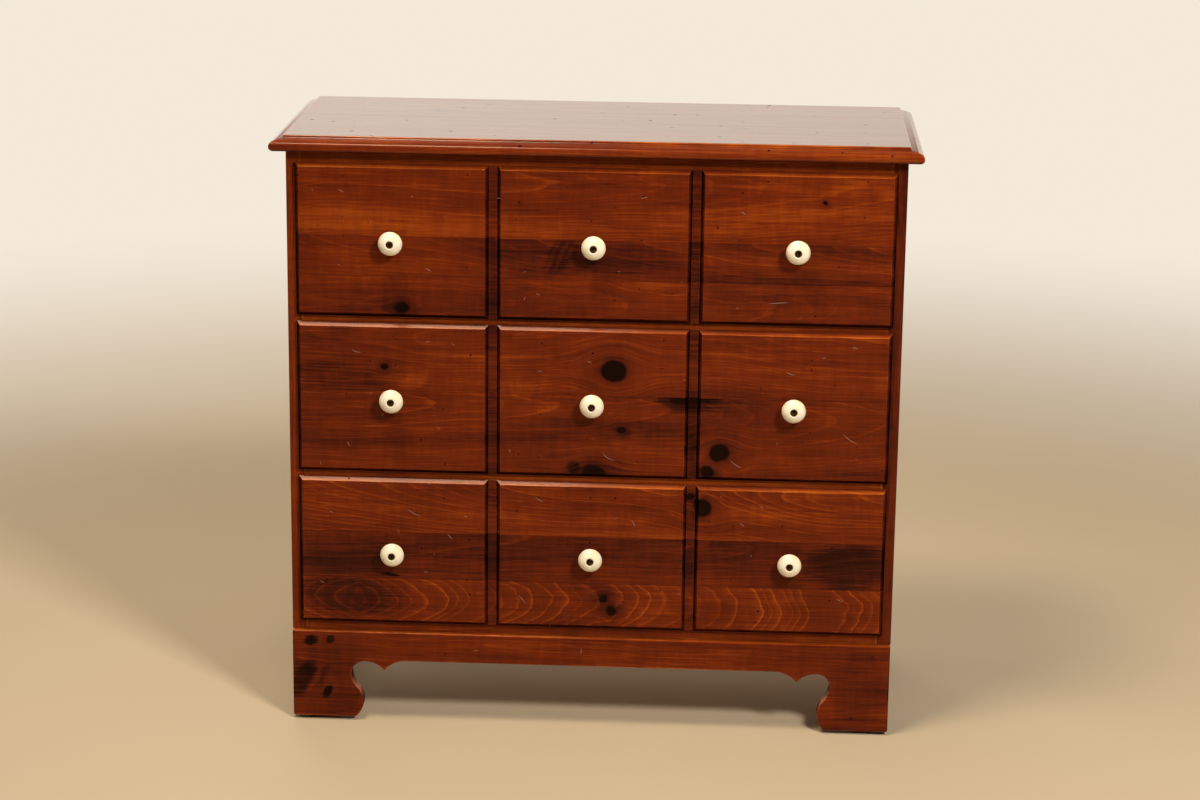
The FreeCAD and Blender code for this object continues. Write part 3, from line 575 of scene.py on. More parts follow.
@dataclass(frozen=True)
class StainedPine(Finish):
    """Knotty pine, planed, stained red-brown and sprayed with satin lacquer.

    The stain sinks deepest into the soft early wood, so the grain reads
    reversed: pale hard lines on a deep red-brown ground. Knots go almost
    black. The lacquer gives an even, soft shine with a touch of grain in it.
    """

    NAME = "stained_pine_"
    deepest: str = "#090101"
    dark: str = "#39120B"
    middle: str = "#68250C"
    light: str = "#944211"
    palest: str = "#C46C28"
    dust: str = "#85695D"       # filler and dust in the dents
    roughness: float = 0.34
    ior: float = 1.45           # nitrocellulose lacquer is about 1.5, thinned by the satin agent
    amber: str = "#FFB27A"      # yellowed lacquer warms what it mirrors
    gloss: float = 0.16         # reflection of the lacquer, seen square on
    build_up: float = 0.06      # a second, clearer coat of lacquer
    polish: float = 0.45        # more of it on the rounded edges, rubbed bright by hands
    wiped: float = 0.08         # more of it on slopes that face up, wiped with a cloth
    clear_roughness: float = 0.12   # roughness of that clearer coat
    ground: float = 0.45        # tone of clear wood on the scale from deepest to palest
    contrast: float = 1.0       # how much of the grain shows through
    lift: float = 0.0           # how much paler all of it is
    wear_and_painted_highlight: float = 0.28        # painted highlight: how much paler the slopes that face up are

    def surface(self, add: Add, panel: Panel) -> Socket:
        """Draw the stained wood, its wear, its lacquer, and its painted highlights and shade.

        Args:
            add: Adds a node to the material.
            panel: Boards, knots and marks of the panel.

        Returns:
            The shader's output.
        """
        grain = PineGrain(add, panel)
        tone = add(MATH, [grain.tone, self.contrast, self.ground + self.lift],
                   operation="MULTIPLY_ADD")
        edge_wear_and_painted_highlight = add("ShaderNodeAttribute", out="Fac", attribute_name="edge_wear_and_painted_highlight")
        # Rounded edges are paler: stain worn through there, and a painted highlight
        rub = add(MATH, [grain.clouds, 0.9, 0.20], operation="MULTIPLY_ADD")
        tone = add(MATH, [edge_wear_and_painted_highlight, rub, tone], operation="MULTIPLY_ADD")
        facing = add(SPLIT, [add(PLACE, out="Normal")]).node.outputs
        # From a steep slope, 70 degrees from level, to one of 50 and flatter
        up = add(REMAP, [facing["Z"], 0.3, 0.65, 0.0, 1.0])
        if self.wear_and_painted_highlight:
            # Painted highlight: the slopes that face up are made a little paler
            tone = add(MATH, [up, self.wear_and_painted_highlight, tone], operation="MULTIPLY_ADD")
        # Glaze in the hollows, with painted shade where they lie deep
        for glaze in panel.glazes_and_shade:
            off = add(MATH, [grain.through, glaze.through], operation="SUBTRACT")
            off = add(MATH, [off], operation="ABSOLUTE")
            glaze_and_painted_shade = add(REMAP, [off, 0.0, glaze.spread, glaze.tone, 0.0])
            square = add(MATH, [facing[panel.way.value[2]]], operation="ABSOLUTE")
            share = add(REMAP, [square, 0.8, 0.98, 1.0, glaze.on_flat])
            tone = add(MATH, [glaze_and_painted_shade, share, tone], operation="MULTIPLY_ADD")
        colour = add(RAMP, [tone], stops=((0.0, self.deepest), (0.24, self.dark),
                                          (0.5, self.middle), (0.74, self.light),
                                          (1.0, self.palest)))
        rough = add(MATH, [grain.streaks, 0.18, self.roughness], operation="MULTIPLY_ADD")
        coat: Socket | float = self.build_up
        if self.polish:
            coat = add(MATH, [edge_wear_and_painted_highlight, self.polish, self.build_up], operation="MULTIPLY_ADD")
            if self.wiped:
                coat = add(MATH, [up, self.wiped, coat], operation="MULTIPLY_ADD")
        if grain.dents:
            # Dents and specks are dull: they hold dust and no clear coat
            marks = add(MATH, [grain.specks, grain.dents], operation="MAXIMUM")
            if self.polish or self.build_up:
                coat = add(MATH, [marks, -1.0, coat], operation="MULTIPLY_ADD", use_clamp=True)
            for mask, tint in ((grain.specks, self.deepest), (grain.dents, self.dust)):
                colour = add(BLEND, {SHARE: mask, UNDER: colour, OVER: tint}, MIXED,
                             data_type="RGBA")
            rough = add(MATH, [marks, 0.5, rough], operation="MULTIPLY_ADD")
        bump = add(BUMP, {"Height": grain.height, "Distance": 0.05 * MM, "Strength": 0.6})
        return add(SHADER, {
            "Base Color": colour, "Roughness": rough, "IOR": self.ior, "Normal": bump,
            "Specular IOR Level": self.gloss, "Specular Tint": self.amber, "Coat Weight": coat,
            "Coat Roughness": self.clear_roughness,
        })


@dataclass(frozen=True)
class PlainPine(Finish):
    """Pine planed by machine and left without a finish.

    Dry and matt, cream early wood with tan late lines and brown knots.
    """

    NAME = "plain_pine_"
    dark: str = "#6B4423"
    late: str = "#B98A52"
    middle: str = "#D9B688"
    pale: str = "#E9CFA6"
    roughness: float = 0.62
    ior: float = 1.5            # dry wood cell walls

    def surface(self, add: Add, panel: Panel) -> Socket:
        """Draw the bare wood.

        Args:
            add: Adds a node to the material.
            panel: Boards and knots of the panel.

        Returns:
            The shader's output.
        """
        grain = PineGrain(add, panel)
        # Bare wood isn't reversed: late wood is the darker line
        tone = add(MATH, [grain.late, -0.42, grain.tone], operation="MULTIPLY_ADD")
        tone = add(MATH, [tone, 0.62], operation="ADD")
        colour = add(RAMP, [tone], stops=((0.0, self.dark), (0.3, self.late),
                                          (0.6, self.middle), (1.0, self.pale)))
        rough = add(MATH, [grain.streaks, 0.15, self.roughness], operation="MULTIPLY_ADD")
        bump = add(BUMP, {"Height": grain.height, "Distance": 0.06 * MM, "Strength": 0.6})
        return add(SHADER, {"Base Color": colour, "Roughness": rough, "IOR": self.ior,
                            "Normal": bump, "Specular IOR Level": 0.3})


@dataclass(frozen=True)
class Maple(Finish):
    """Maple strip, planed and waxed so that the drawer slides on it.

    Even and pale with short fine flecks, a dull shine from the wax.
    """

    NAME = "guide_maple_waxed"
    dark: str = "#B08A60"
    pale: str = "#D8B98E"
    roughness: float = 0.42
    ior: float = 1.45           # paraffin wax

    def surface(self, add: Add) -> Socket:
        """Draw flecks on soft clouds, both drawn out along the strip.

        Args:
            add: Adds a node to the material.

        Returns:
            The shader's output.
        """
        there = add(PLACE, out="Object")
        # Flecks about 11 mm by 2 mm, clouds 140 mm by 17 mm
        at = add(VECTOR, [there, (520.0, 90.0, 520.0)], operation="MULTIPLY")
        fleck = add(NOISE, {"Vector": at, "Scale": 1.0, "Detail": 3.0})
        at = add(VECTOR, [there, (60.0, 7.0, 60.0)], operation="MULTIPLY")
        cloud = add(NOISE, {"Vector": at, "Scale": 1.0, "Detail": 2.0})
        mixed = add(MATH, [fleck, 0.5, cloud], operation="MULTIPLY_ADD")
        tone = add(REMAP, [mixed, 0.45, 1.05, 0.0, 1.0])
        colour = add(BLEND, {SHARE: tone, UNDER: self.dark, OVER: self.pale}, MIXED,
                     data_type="RGBA")
        bump = add(BUMP, {"Height": fleck, "Distance": 0.04 * MM, "Strength": 0.5})
        return add(SHADER, {"Base Color": colour, "Roughness": self.roughness, "IOR": self.ior,
                            "Normal": bump})


@dataclass(frozen=True)
class Plywood(Finish):
    """Three-ply panel, rotary-peeled face veneer, sanded.

    Peeling cuts along the rings, so the figure is wide and wild. The edges
    show the dark middle ply.
    """

    NAME = "plywood_"
    way: Way
    faces: tuple[float, float]          # the two faces, through the sheet, in millimetres
    dark: str = "#A87B4C"
    middle: str = "#C99E6B"
    pale: str = "#DDBB8B"
    ply: str = "#8B6238"
    roughness: float = 0.58
    ior: float = 1.5                    # dry wood cell walls
    contours: float = 18.0              # late-wood lines between the lowest and highest swing

    def surface(self, add: Add) -> Socket:
        """Draw the contour lines of the peeled veneer and the middle ply.

        Args:
            add: Adds a node to the material.

        Returns:
            The shader's output.
        """
        there = add(PLACE, out="Object")
        scaled = add(VECTOR, {0: there, "Scale": 1 / MM}, operation="SCALE")
        axes = add(SPLIT, [scaled]).node.outputs
        along, across, through = (axes[name] for name in self.way.value)
        spot = add(JOIN, [along, across, through])
        at = add(VECTOR, [spot, (1 / 420, 1 / 110, 1 / 110)], operation="MULTIPLY")
        broad = add(NOISE, {"Vector": at, "Scale": 1.0, "Detail": 2.0, "Distortion": 0.6})
        contour = add(MATH, [broad, self.contours], operation="MULTIPLY")
        contour = add(MATH, [contour], operation="FRACT")
        late = add(RAMP, [contour], stops=((0.0, 0.0), (0.55, 0.15), (0.93, 1.0), (1.0, 0.0)))
        at = add(VECTOR, [spot, (1 / 22, 1 / 0.9, 1 / 0.9)], operation="MULTIPLY")
        fine = add(NOISE, {"Vector": at, "Scale": 1.0, "Detail": 3.0})
        tone = add(MATH, [late, -0.18, fine], operation="MULTIPLY_ADD")
        tone = add(MATH, [broad, 0.5, tone], operation="MULTIPLY_ADD")
        colour = add(RAMP, [tone], stops=((0.35, self.dark), (0.62, self.middle),
                                          (0.95, self.pale)))
        low, high = self.faces
        half_ply = (high - low) / 6
        core = add(MATH, [through, (low + high) / 2, half_ply], operation="COMPARE")
        colour = add(BLEND, {SHARE: core, UNDER: colour, OVER: self.ply}, MIXED,
                     data_type="RGBA")
        bump = add(BUMP, {"Height": fine, "Distance": 0.05 * MM, "Strength": 0.5})
        return add(SHADER, {"Base Color": colour, "Roughness": self.roughness, "IOR": self.ior,
                            "Normal": bump, "Specular IOR Level": 0.3})


@dataclass(frozen=True)
class CreamGlaze(Finish):
    """Slip-cast porcelain under a warm white transparent glaze.

    Bright and wet looking, a little uneven where the glaze pooled, and
    darker grey-brown round the dimple and at the foot.
    """

    NAME = "white_glaze_porcelain"
    body: str = "#F3ECD8"
    pooled: str = "#E6D8B2"
    dimple_and_foot_darkening: str = "#6E5D45"
    roughness: float = 0.16
    ior: float = 1.52           # feldspar glaze

    def surface(self, add: Add) -> Socket:
        """Draw the glaze, darker round the dimple and at the foot.

        Args:
            add: Adds a node to the material.

        Returns:
            The shader's output.
        """
        there = add(PLACE, out="Object")
        cloud = add(NOISE, {"Vector": there, "Scale": 70.0, "Detail": 2.0})
        pool = add(REMAP, [cloud, 0.42, 0.72, 0.0, 1.0])
        colour = add(BLEND, {SHARE: pool, UNDER: self.body, OVER: self.pooled}, MIXED,
                     data_type="RGBA")
        aside, out, up = add(SPLIT, [there]).node.outputs
        ring = add(JOIN, [aside, up, 0.0])
        radius = add(VECTOR, [ring], out="Value", operation="LENGTH")
        # Darker grey-brown round the dimple and where the knob meets the drawer
        near_screw = add(REMAP, [radius, 4.2 * MM, 5.1 * MM, 0.75, 0.0])
        near_foot = add(REMAP, [out, -1.6 * MM, 0.0, 0.0, 0.6])
        dimple_and_foot_darkening = add(MATH, [near_screw, near_foot], operation="MAXIMUM")
        colour = add(BLEND, {SHARE: dimple_and_foot_darkening, UNDER: colour, OVER: self.dimple_and_foot_darkening}, MIXED,
                     data_type="RGBA")
        # Orange peel of the fired glaze, about 2 mm from crest to crest
        peel = add(NOISE, {"Vector": there, "Scale": 480.0, "Detail": 1.0})
        bump = add(BUMP, {"Height": peel, "Distance": 0.02 * MM, "Strength": 0.5})
        return add(SHADER, {
            "Base Color": colour, "Roughness": self.roughness, "IOR": self.ior, "Normal": bump,
            "Subsurface Weight": 0.08, "Subsurface Radius": (0.004, 0.003, 0.002),
            "Subsurface Scale": 0.5,
        })


@dataclass(frozen=True)
class AgedBrass(Finish):
    """Brass, turned and darkened in a chemical bath.

    Almost black brown in the low parts, brighter where a screwdriver and
    fingers rubbed it.
    """

    NAME = "aged_brass_turned"
    dark: str = "#2A1C12"
    wear_and_painted_highlight: str = "#8C6A3C"
    roughness: float = 0.42

    def surface(self, add: Add) -> Socket:
        """Draw the bath's brown and the rubbed patches.

        Args:
            add: Adds a node to the material.

        Returns:
            The shader's output.
        """
        there = add(PLACE, out="Object")
        # Patches of about 2.5 mm
        patch = add(NOISE, {"Vector": there, "Scale": 380.0, "Detail": 4.0})
        rub = add(REMAP, [patch, 0.46, 0.72, 0.05, 0.8])
        colour = add(BLEND, {SHARE: rub, UNDER: self.dark, OVER: self.wear_and_painted_highlight}, MIXED,
                     data_type="RGBA")
        rough = add(MATH, [patch, 0.3, self.roughness - 0.15], operation="MULTIPLY_ADD")
        bump = add(BUMP, {"Height": patch, "Distance": 0.05 * MM, "Strength": 0.5})
        return add(SHADER, {"Base Color": colour, "Metallic": 1.0, "Roughness": rough,
                            "Normal": bump})


@dataclass(frozen=True)
class ZincWire(Finish):
    """Steel wire and screws with bright zinc plating.

    Cool grey with a faint mottle from the plating bath.
    """

    NAME = "steel_wire_zinc_plated"
    dull: str = "#8E9398"
    bright: str = "#C6CACC"
    roughness: float = 0.34

    def surface(self, add: Add) -> Socket:
        """Draw the mottle of the plating.

        Args:
            add: Adds a node to the material.

        Returns:
            The shader's output.
        """
        there = add(PLACE, out="Object")
        # Mottle of about 1.7 mm
        mottle = add(NOISE, {"Vector": there, "Scale": 600.0, "Detail": 3.0})
        colour = add(BLEND, {SHARE: mottle, UNDER: self.dull, OVER: self.bright}, MIXED,
                     data_type="RGBA")
        rough = add(MATH, [mottle, 0.2, self.roughness - 0.1], operation="MULTIPLY_ADD")
        return add(SHADER, {"Base Color": colour, "Metallic": 1.0, "Roughness": rough})


@dataclass(frozen=True)
class BlackNylon(Finish):
    """Injection-moulded nylon glide.

    Dull black with scuffs and floor dust on its lower edge.
    """

    NAME = "black_glide_nylon"
    colour: str = "#17171A"
    scuff: str = "#4A4744"
    roughness: float = 0.5
    ior: float = 1.53           # nylon 6

    def surface(self, add: Add) -> Socket:
        """Draw the scuffs, most of them in the lowest 3 mm.

        Args:
            add: Adds a node to the material.

        Returns:
            The shader's output.
        """
        there = add(PLACE, out="Object")
        mottle = add(NOISE, {"Vector": there, "Scale": 220.0, "Detail": 4.0})
        low = add(REMAP, [add(SPLIT, [there], out="Z"), 0.0, 3.0 * MM, 0.9, 0.1])
        scuffed = add(MATH, [mottle, low], operation="MULTIPLY")
        colour = add(BLEND, {SHARE: scuffed, UNDER: self.colour, OVER: self.scuff}, MIXED,
                     data_type="RGBA")
        bump = add(BUMP, {"Height": mottle, "Distance": 0.05 * MM, "Strength": 0.5})
        return add(SHADER, {"Base Color": colour, "Roughness": self.roughness, "IOR": self.ior,
                            "Normal": bump})


BACKDROP = "#F4E9D8"        # warm white of the surroundings


@dataclass(frozen=True)
class PaleFloor(Finish):
    """Plain floor, painted with a matt roller.

    Even and pale, only the faint cloudiness of the roller shows.
    """

    NAME = "floor_matt_paint"
    colour: str = "#C6B69C"
    shade: str = "#BEAD92"
    roughness: float = 0.7
    ior: float = 1.5            # acrylic paint
    fade_start: float = 1.1     # distance from the chest at which the backdrop sets in
    fade_end: float = 3.3

    def surface(self, add: Add) -> Socket:
        """Draw the paint, and the white surroundings that the floor runs into.

        Args:
            add: Adds a node to the material.

        Returns:
            The shader's output.
        """
        there = add(PLACE, out="Object")
        cloud = add(NOISE, {"Vector": there, "Scale": 1.6, "Detail": 3.0})
        colour = add(BLEND, {SHARE: cloud, UNDER: self.shade, OVER: self.colour}, MIXED,
                     data_type="RGBA")
        paint = add(SHADER, {"Base Color": colour, "Roughness": self.roughness,
                             "IOR": self.ior, "Specular IOR Level": 0.2})
        far = add(VECTOR, [there], out="Value", operation="LENGTH")
        far = add(REMAP, [far, self.fade_start, self.fade_end, 0.0, 1.0],
                  interpolation_type="SMOOTHSTEP")
        # The lacquer mirrors the white only behind the chest: in front lies the bare floor
        path = add(PATH).node.outputs
        behind = add(REMAP, [add(SPLIT, [there], out="Y"), 0.3, 1.2, 0.0, 1.0])
        seen = add(MATH, [path["Is Glossy Ray"], behind], operation="MULTIPLY")
        for ray in ("Is Camera Ray", "Is Transmission Ray"):
            seen = add(MATH, [seen, path[ray]], operation="MAXIMUM")
        blank = add(MATH, [far, seen], operation="MULTIPLY")
        white = add("ShaderNodeEmission", {"Color": BACKDROP, "Strength": 1.0})
        return add("ShaderNodeMixShader", [blank, paint, white])


# ------------------------------------------------------------------ shaping

def close_form(form: bmesh.types.BMesh, name: str, crease: float | None = None) -> bpy.types.Mesh:
    """Make a smooth mesh of a form.

    Args:
        form: The finished form, which is used up.
        name: Name of the mesh.
        crease: Angle in degrees above which an edge stays crisp.

    Returns:
        The mesh.
    """
    for face in form.faces:
        face.smooth = True
    mesh = bpy.data.meshes.new(name)
    form.to_mesh(mesh)
    form.free()
    if crease is not None:
        mesh.set_sharp_from_angle(angle=math.radians(crease))
    return mesh


def turn_rings(form: bmesh.types.BMesh, outline: list[tuple[float, float]],
               around: int) -> list[list[bmesh.types.BMVert]]:
    """Turn an outline round the Y axis, as on a lathe.

    Args:
        form: Form that gets the points.
        outline: Radius and distance out of each point, in millimetres.
        around: Number of points in a ring.

    Returns:
        A ring of points for each point of the outline.
    """
    angles = [2 * math.pi * step / around for step in range(around)]
    return [[form.verts.new((radius * MM * math.cos(angle), -out * MM,
                             radius * MM * math.sin(angle))) for angle in angles]
            for radius, out in outline]


def join_rings(form: bmesh.types.BMesh, rings: list[list[bmesh.types.BMVert]]) -> None:
    """Close the wall between each ring and the next.

    Args:
        form: Form that gets the faces.
        rings: Rings with the same number of points.
    """
    for inner, outer in zip(rings, rings[1:]):
        for i in range(-1, len(inner) - 1):
            form.faces.new((inner[i], inner[i + 1], outer[i + 1], outer[i]))


@dataclass(frozen=True)
class Easing:
    """Rounds the sharp edges of a board, as sandpaper does."""

    radius: float = 1.3 * MM
    segments: int = 2
    sharper_than: float = 30.0      # degrees

    def ease(self, node: str, parted: float | None = None) -> bpy.types.Object:
        """Copy a board and round its edges.

        Args:
            node: Name of the board.
            parted: Depth at which the faces are parted, so that the stain can end there.

        Returns:
            The new object, with the faces of the rounding marked as worn.
        """
        form = bmesh.new()
        form.from_mesh(CAD[node].data)
        bmesh.ops.remove_doubles(form, verts=form.verts, dist=0.002 * MM)
        bmesh.ops.dissolve_limit(form, angle_limit=math.radians(0.5), verts=form.verts,
                                 edges=form.edges)
        edge_wear_and_painted_highlight = form.faces.layers.float.new("edge_wear_and_painted_highlight")
        sharp = [edge for edge in form.edges if len(edge.link_faces) == 2
                 and edge.calc_face_angle() > math.radians(self.sharper_than)]
        made = bmesh.ops.bevel(form, geom=sharp, offset=self.radius, segments=self.segments,
                               profile=0.5, affect="EDGES", clamp_overlap=True, material=-1)
        for face in made["faces"]:
            face[edge_wear_and_painted_highlight] = 1.0
        if parted is not None:
            bmesh.ops.bisect_plane(form, geom=form.verts[:] + form.edges[:] + form.faces[:],
                                   plane_co=(0.0, parted, 0.0), plane_no=(0.0, 1.0, 0.0))
        thing = link_mesh(close_form(form, node + "_eased", self.sharper_than))
        weights = thing.modifiers.new("even_faces", "WEIGHTED_NORMAL")
        weights.keep_sharp = True
        return thing


# ------------------------------------------------------------------ the chest

# Grooves and sawn edges, never rubbed bright; their lower tone is painted shade
MATT_WITH_PAINTED_SHADE = StainedPine(roughness=0.6, gloss=0.04, build_up=0.0, polish=0.0, wiped=0.0, lift=-0.08)


@dataclass
class Case:
    """Top, sides, base board and everything that is fixed to them."""

    stain_end: float = -120.0 * MM          # the stain laps this far round into the case
    flat_height: float = 774.0 * MM         # flat of the top
    easing: Easing = Easing()
    top: Panel = Panel(
        Way.FLAT, seed=11, face=774, pits=2.4, pitted=0.28,
        boards=(Board(-62, -110, 60, 0.03, 0), Board(52, 15, 42, -0.03, -0.05),
                Board(9999, 120, 55, 0.04, 0.03)),
        knots=(Knot(-214, 71, 9, 8), Knot(180, -30, 7, 6), Knot(301, 108, 5, 5)),
        nicks=(Nick(65, -71, 22, -4, 0), Nick(120, -95, 26, -3, 0)),
        # Dark lines in the moulding's grooves and along its underside: glaze and painted shade
        glazes_and_shade=(GlazeAndShade(766.6, 1.2, -0.12, 1), GlazeAndShade(771, 1.2, -0.3, 1), GlazeAndShade(755, 3, -0.3, 1)),
    )
    base: Panel = Panel(
        Way.FRONT, seed=23, face=-145.35,
        boards=(Board(9999, 40, 70, 0.02, -0.03),),
        tone_patches=(TonePatch(-364.7, 109.5, 11.5, 7, 12, -0.44), TonePatch(-337.9, 111, 8, 6.5, 60, -0.34),
                 TonePatch(-374, 58, 30, 15, 62, -0.28), TonePatch(-359.8, 55, 22, 5, 59, 0.1),
                 TonePatch(-342.8, 39.5, 10.5, 5.6, 62, -0.46), TonePatch(-350, 62, 22, 6, 62, -0.1),
                 TonePatch(-340, 60, 60, 60, 0, -0.09), TonePatch(350, 60, 40, 60, 0, -0.08)),
        nicks=(Nick(-148, 101.5, 6, 12), Nick(-11.5, 104, 8, 85), Nick(240, 66, 9, -20)),
    )
    left: Panel = Panel(
        Way.UPRIGHT, seed=31, face=-389,
        boards=(Board(-46, -95, 50, 0.03, 0), Board(64, 12, 38, -0.04, 0.04),
                Board(9999, 128, 60, 0.03, 0)),
        knots=(Knot(566, 32, 11, 9), Knot(238, -88, 8, 8), Knot(398, 122, 12, 9),
               Knot(664, -72, 5, 5)),
        # The two lighter patches along the front edge are painted light
        tone_patches=(TonePatch(660, -139, 150, 40, 0, 0.1), TonePatch(400, -139, 150, 40, 0, 0.05)),
    )
    right: Panel = Panel(
        Way.UPRIGHT, seed=37, face=389,
        boards=(Board(-58, -98, 44, -0.04, -0.15), Board(55, 0, 52, 0.03, -0.04),
                Board(9999, 118, 40, -0.03, 0.02)),
        knots=(Knot(482, -22, 12, 10), Knot(196, 96, 9, 8), Knot(612, 112, 6, 6),
               Knot(338, -104, 7, 6)),
    )

    def dress_top(self) -> None:
        """Round the top, rub its flat out to a shine and leave its front moulding as sprayed."""
        top = self.easing.ease("top_board")
        # The moulding's slopes that face up get a small painted highlight
        moulding = StainedPine(wear_and_painted_highlight=0.10, build_up=0.2, lift=0.05, polish=0.8, wiped=0.0)
        rubbed_out = StainedPine(roughness=0.3, gloss=0.5, build_up=1.0, polish=0.0,
                                 contrast=0.45, wear_and_painted_highlight=0.0)
        dress(top, moulding.build("moulding", self.top), rubbed_out.build("top_board", self.top))
        flat = self.flat_height - 0.2 * MM
        # The end mouldings are rubbed out with the flat
        paint(top, 1, lambda face: (face.center.z > flat
                                    or (face.normal.z > 0.1 and face.normal.y > -0.05)))
        place_piece(top, "case", "top_board")

    def dress_front_and_sides(self) -> None:
        """Round and stain base board, sides and rails; inside the case they stay bare."""
        stain = StainedPine()
        base = self.easing.ease("base_front")
        dress(base, stain.build("base_front", self.base),
              MATT_WITH_PAINTED_SHADE.build("base_front_edges", self.base))
        # Edges that look sideways or down get painted shade
        paint(base, 1, looks_sideways_or_down)
        place_piece(base, "case", "base_front")
        bare = PlainPine().build("case_inside", Panel(Way.UPRIGHT, seed=5, speckled=False))
        for node, panel, inward in (("left_side", self.left, 1), ("right_side", self.right, -1)):
            board = self.easing.ease(node, self.stain_end)
            dress(board, stain.build(node, panel), bare)
            paint(board, 1, lambda face: (face.normal.x * inward > 0.95
                                          and face.center.y > self.stain_end))
            place_piece(board, "case", node)
        rail_finish = stain.build("rails", Panel(Way.FRONT, seed=41, face=-139, speckled=False,
                                                 boards=(Board(9999, 30, 60, 0.01, 0.1),)))
        for row in ("bottom", "lower", "upper", "top"):
            rail = self.easing.ease(row + "_rail", self.stain_end)
            dress(rail, rail_finish, bare)
            paint(rail, 1, lambda face: face.center.y > self.stain_end)
            place_piece(rail, "case", row + "_rail")

    def dress_hidden_wood(self) -> None:
        """Give the inner frames, blocks and the back their bare wood."""
        plain = PlainPine()
        across = plain.build("cross_rails", Panel(Way.FRONT, seed=3, face=170, speckled=False,
                                                  knots=(Knot(120, 430, 6, 5),)))
        along = plain.build("runners", Panel(Way.RUNNER, seed=7, speckled=False))
        blocks = plain.build("glue_blocks", Panel(Way.UPRIGHT, seed=9, speckled=False))
        maple = Maple().build()
        for row in ("bottom", "lower", "upper", "top"):
            dress(CAD[row + "_back_rail"], across)
        for row in ("lower", "middle", "upper"):
            for side in ("left", "right"):
                dress(CAD["%s_runner_%s" % (row, side)], along)
            dress(CAD[row + "_guide"], maple)
        for side in ("left", "right"):
            dress(CAD["top_cleat_" + side], along)
        dress(CAD["glue_blocks"], blocks)
        low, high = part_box("back_panel")
        back = Plywood(Way.BACK, (low.y / MM, high.y / MM))
        dress(CAD["back_panel"], back.build("back_panel"))
        log.info("inner frames, guides, blocks and back dressed")

    def dress_hardware(self) -> None:
        """Give glides, screws and staples their finishes."""
        zinc = ZincWire().build()
        dress(CAD["foot_glides"], BlackNylon().build())
        dress(CAD["top_screws"], zinc)
        dress(CAD["back_staples"], zinc)
        log.info("glides, screws and staples dressed")

    def build(self) -> None:
        """Dress the whole case."""
        self.dress_top()
        self.dress_front_and_sides()
        self.dress_hidden_wood()
        self.dress_hardware()


@dataclass
class Knob:
    """Porcelain mushroom knob, turned round the axis of its screw. Millimetres."""

    name: str
    body: str
    reach: float = 25.0             # drawer face to the front of the cap
    foot_radius: float = 8.8
    neck_radius: float = 7.4
    neck_top: float = 7.0
    cap_radius: float = 15.3
    dome_radius: float = 18.0
    dome_steps: int = 12
    dimple_radius: float = 4.7
    dimple_depth: float = 1.4
    dimple_lip: float = 0.7         # rounded lip of the dimple
    bore_radius: float = 2.2        # hole for the screw
    around: int = 64

    def profile(self) -> list[tuple[float, float]]:
        """Draw the outline.

        Returns:
            Radius and distance out from the drawer, from the front to the back.
        """
        crown = self.dimple_radius + self.dimple_lip
        centre = self.reach - math.sqrt(self.dome_radius ** 2 - crown ** 2)
        floor = self.reach - self.dimple_depth
        dimple = [(self.bore_radius, floor), (self.dimple_radius - 0.5, floor),
                  (self.dimple_radius, floor + 0.35),
                  (self.dimple_radius + 0.25, self.reach - 0.45),
                  (self.dimple_radius + 0.7, self.reach - 0.08)]
        start = math.asin(crown / self.dome_radius) + 0.03
        stop = math.asin((self.cap_radius - 1.6) / self.dome_radius)
        angles = [start + (stop - start) * step / self.dome_steps
                  for step in range(self.dome_steps + 1)]
        dome = [(self.dome_radius * math.sin(angle), centre + self.dome_radius * math.cos(angle))
                for angle in angles]
        edge = centre + math.sqrt(self.dome_radius ** 2 - self.cap_radius ** 2)
        # Set in from the cap's radius and back from its edge
        rim = [(self.cap_radius - inset, edge - back)
               for inset, back in ((0.72, -0.05), (0.22, 0.65), (0.0, 1.6), (0.15, 2.4),
                                   (0.7, 3.35), (1.7, 4.2))]
        neck = [(11.4, edge - 6.4), (9.2, self.neck_top + 1.5), (7.85, self.neck_top + 0.35),
                (self.neck_radius, self.neck_top - 1.0), (self.neck_radius, 4.2)]
        foot = [(7.65, 3.1), (8.3, 1.9), (8.7, 1.0), (self.foot_radius, 0.35),
                (self.foot_radius - 0.3, 0.0), (self.bore_radius, 0.0)]
        return dimple + dome + rim + neck + foot

    def build(self, glaze: bpy.types.Material) -> None:
        """Turn the knob and set it on its drawer.

        Args:
            glaze: Material of the knob.
        """
        form = bmesh.new()
        rings = turn_rings(form, self.profile(), self.around)
        join_rings(form, rings + rings[:1])
        bmesh.ops.recalc_face_normals(form, faces=form.faces)
        thing = link_mesh(close_form(form, self.name + "_porcelain", 50))
        low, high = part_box(self.name)
        thing.location = ((low.x + high.x) / 2, high.y, (low.z + high.z) / 2)
        dress(thing, glaze)
        place_piece(thing, self.body, self.name)


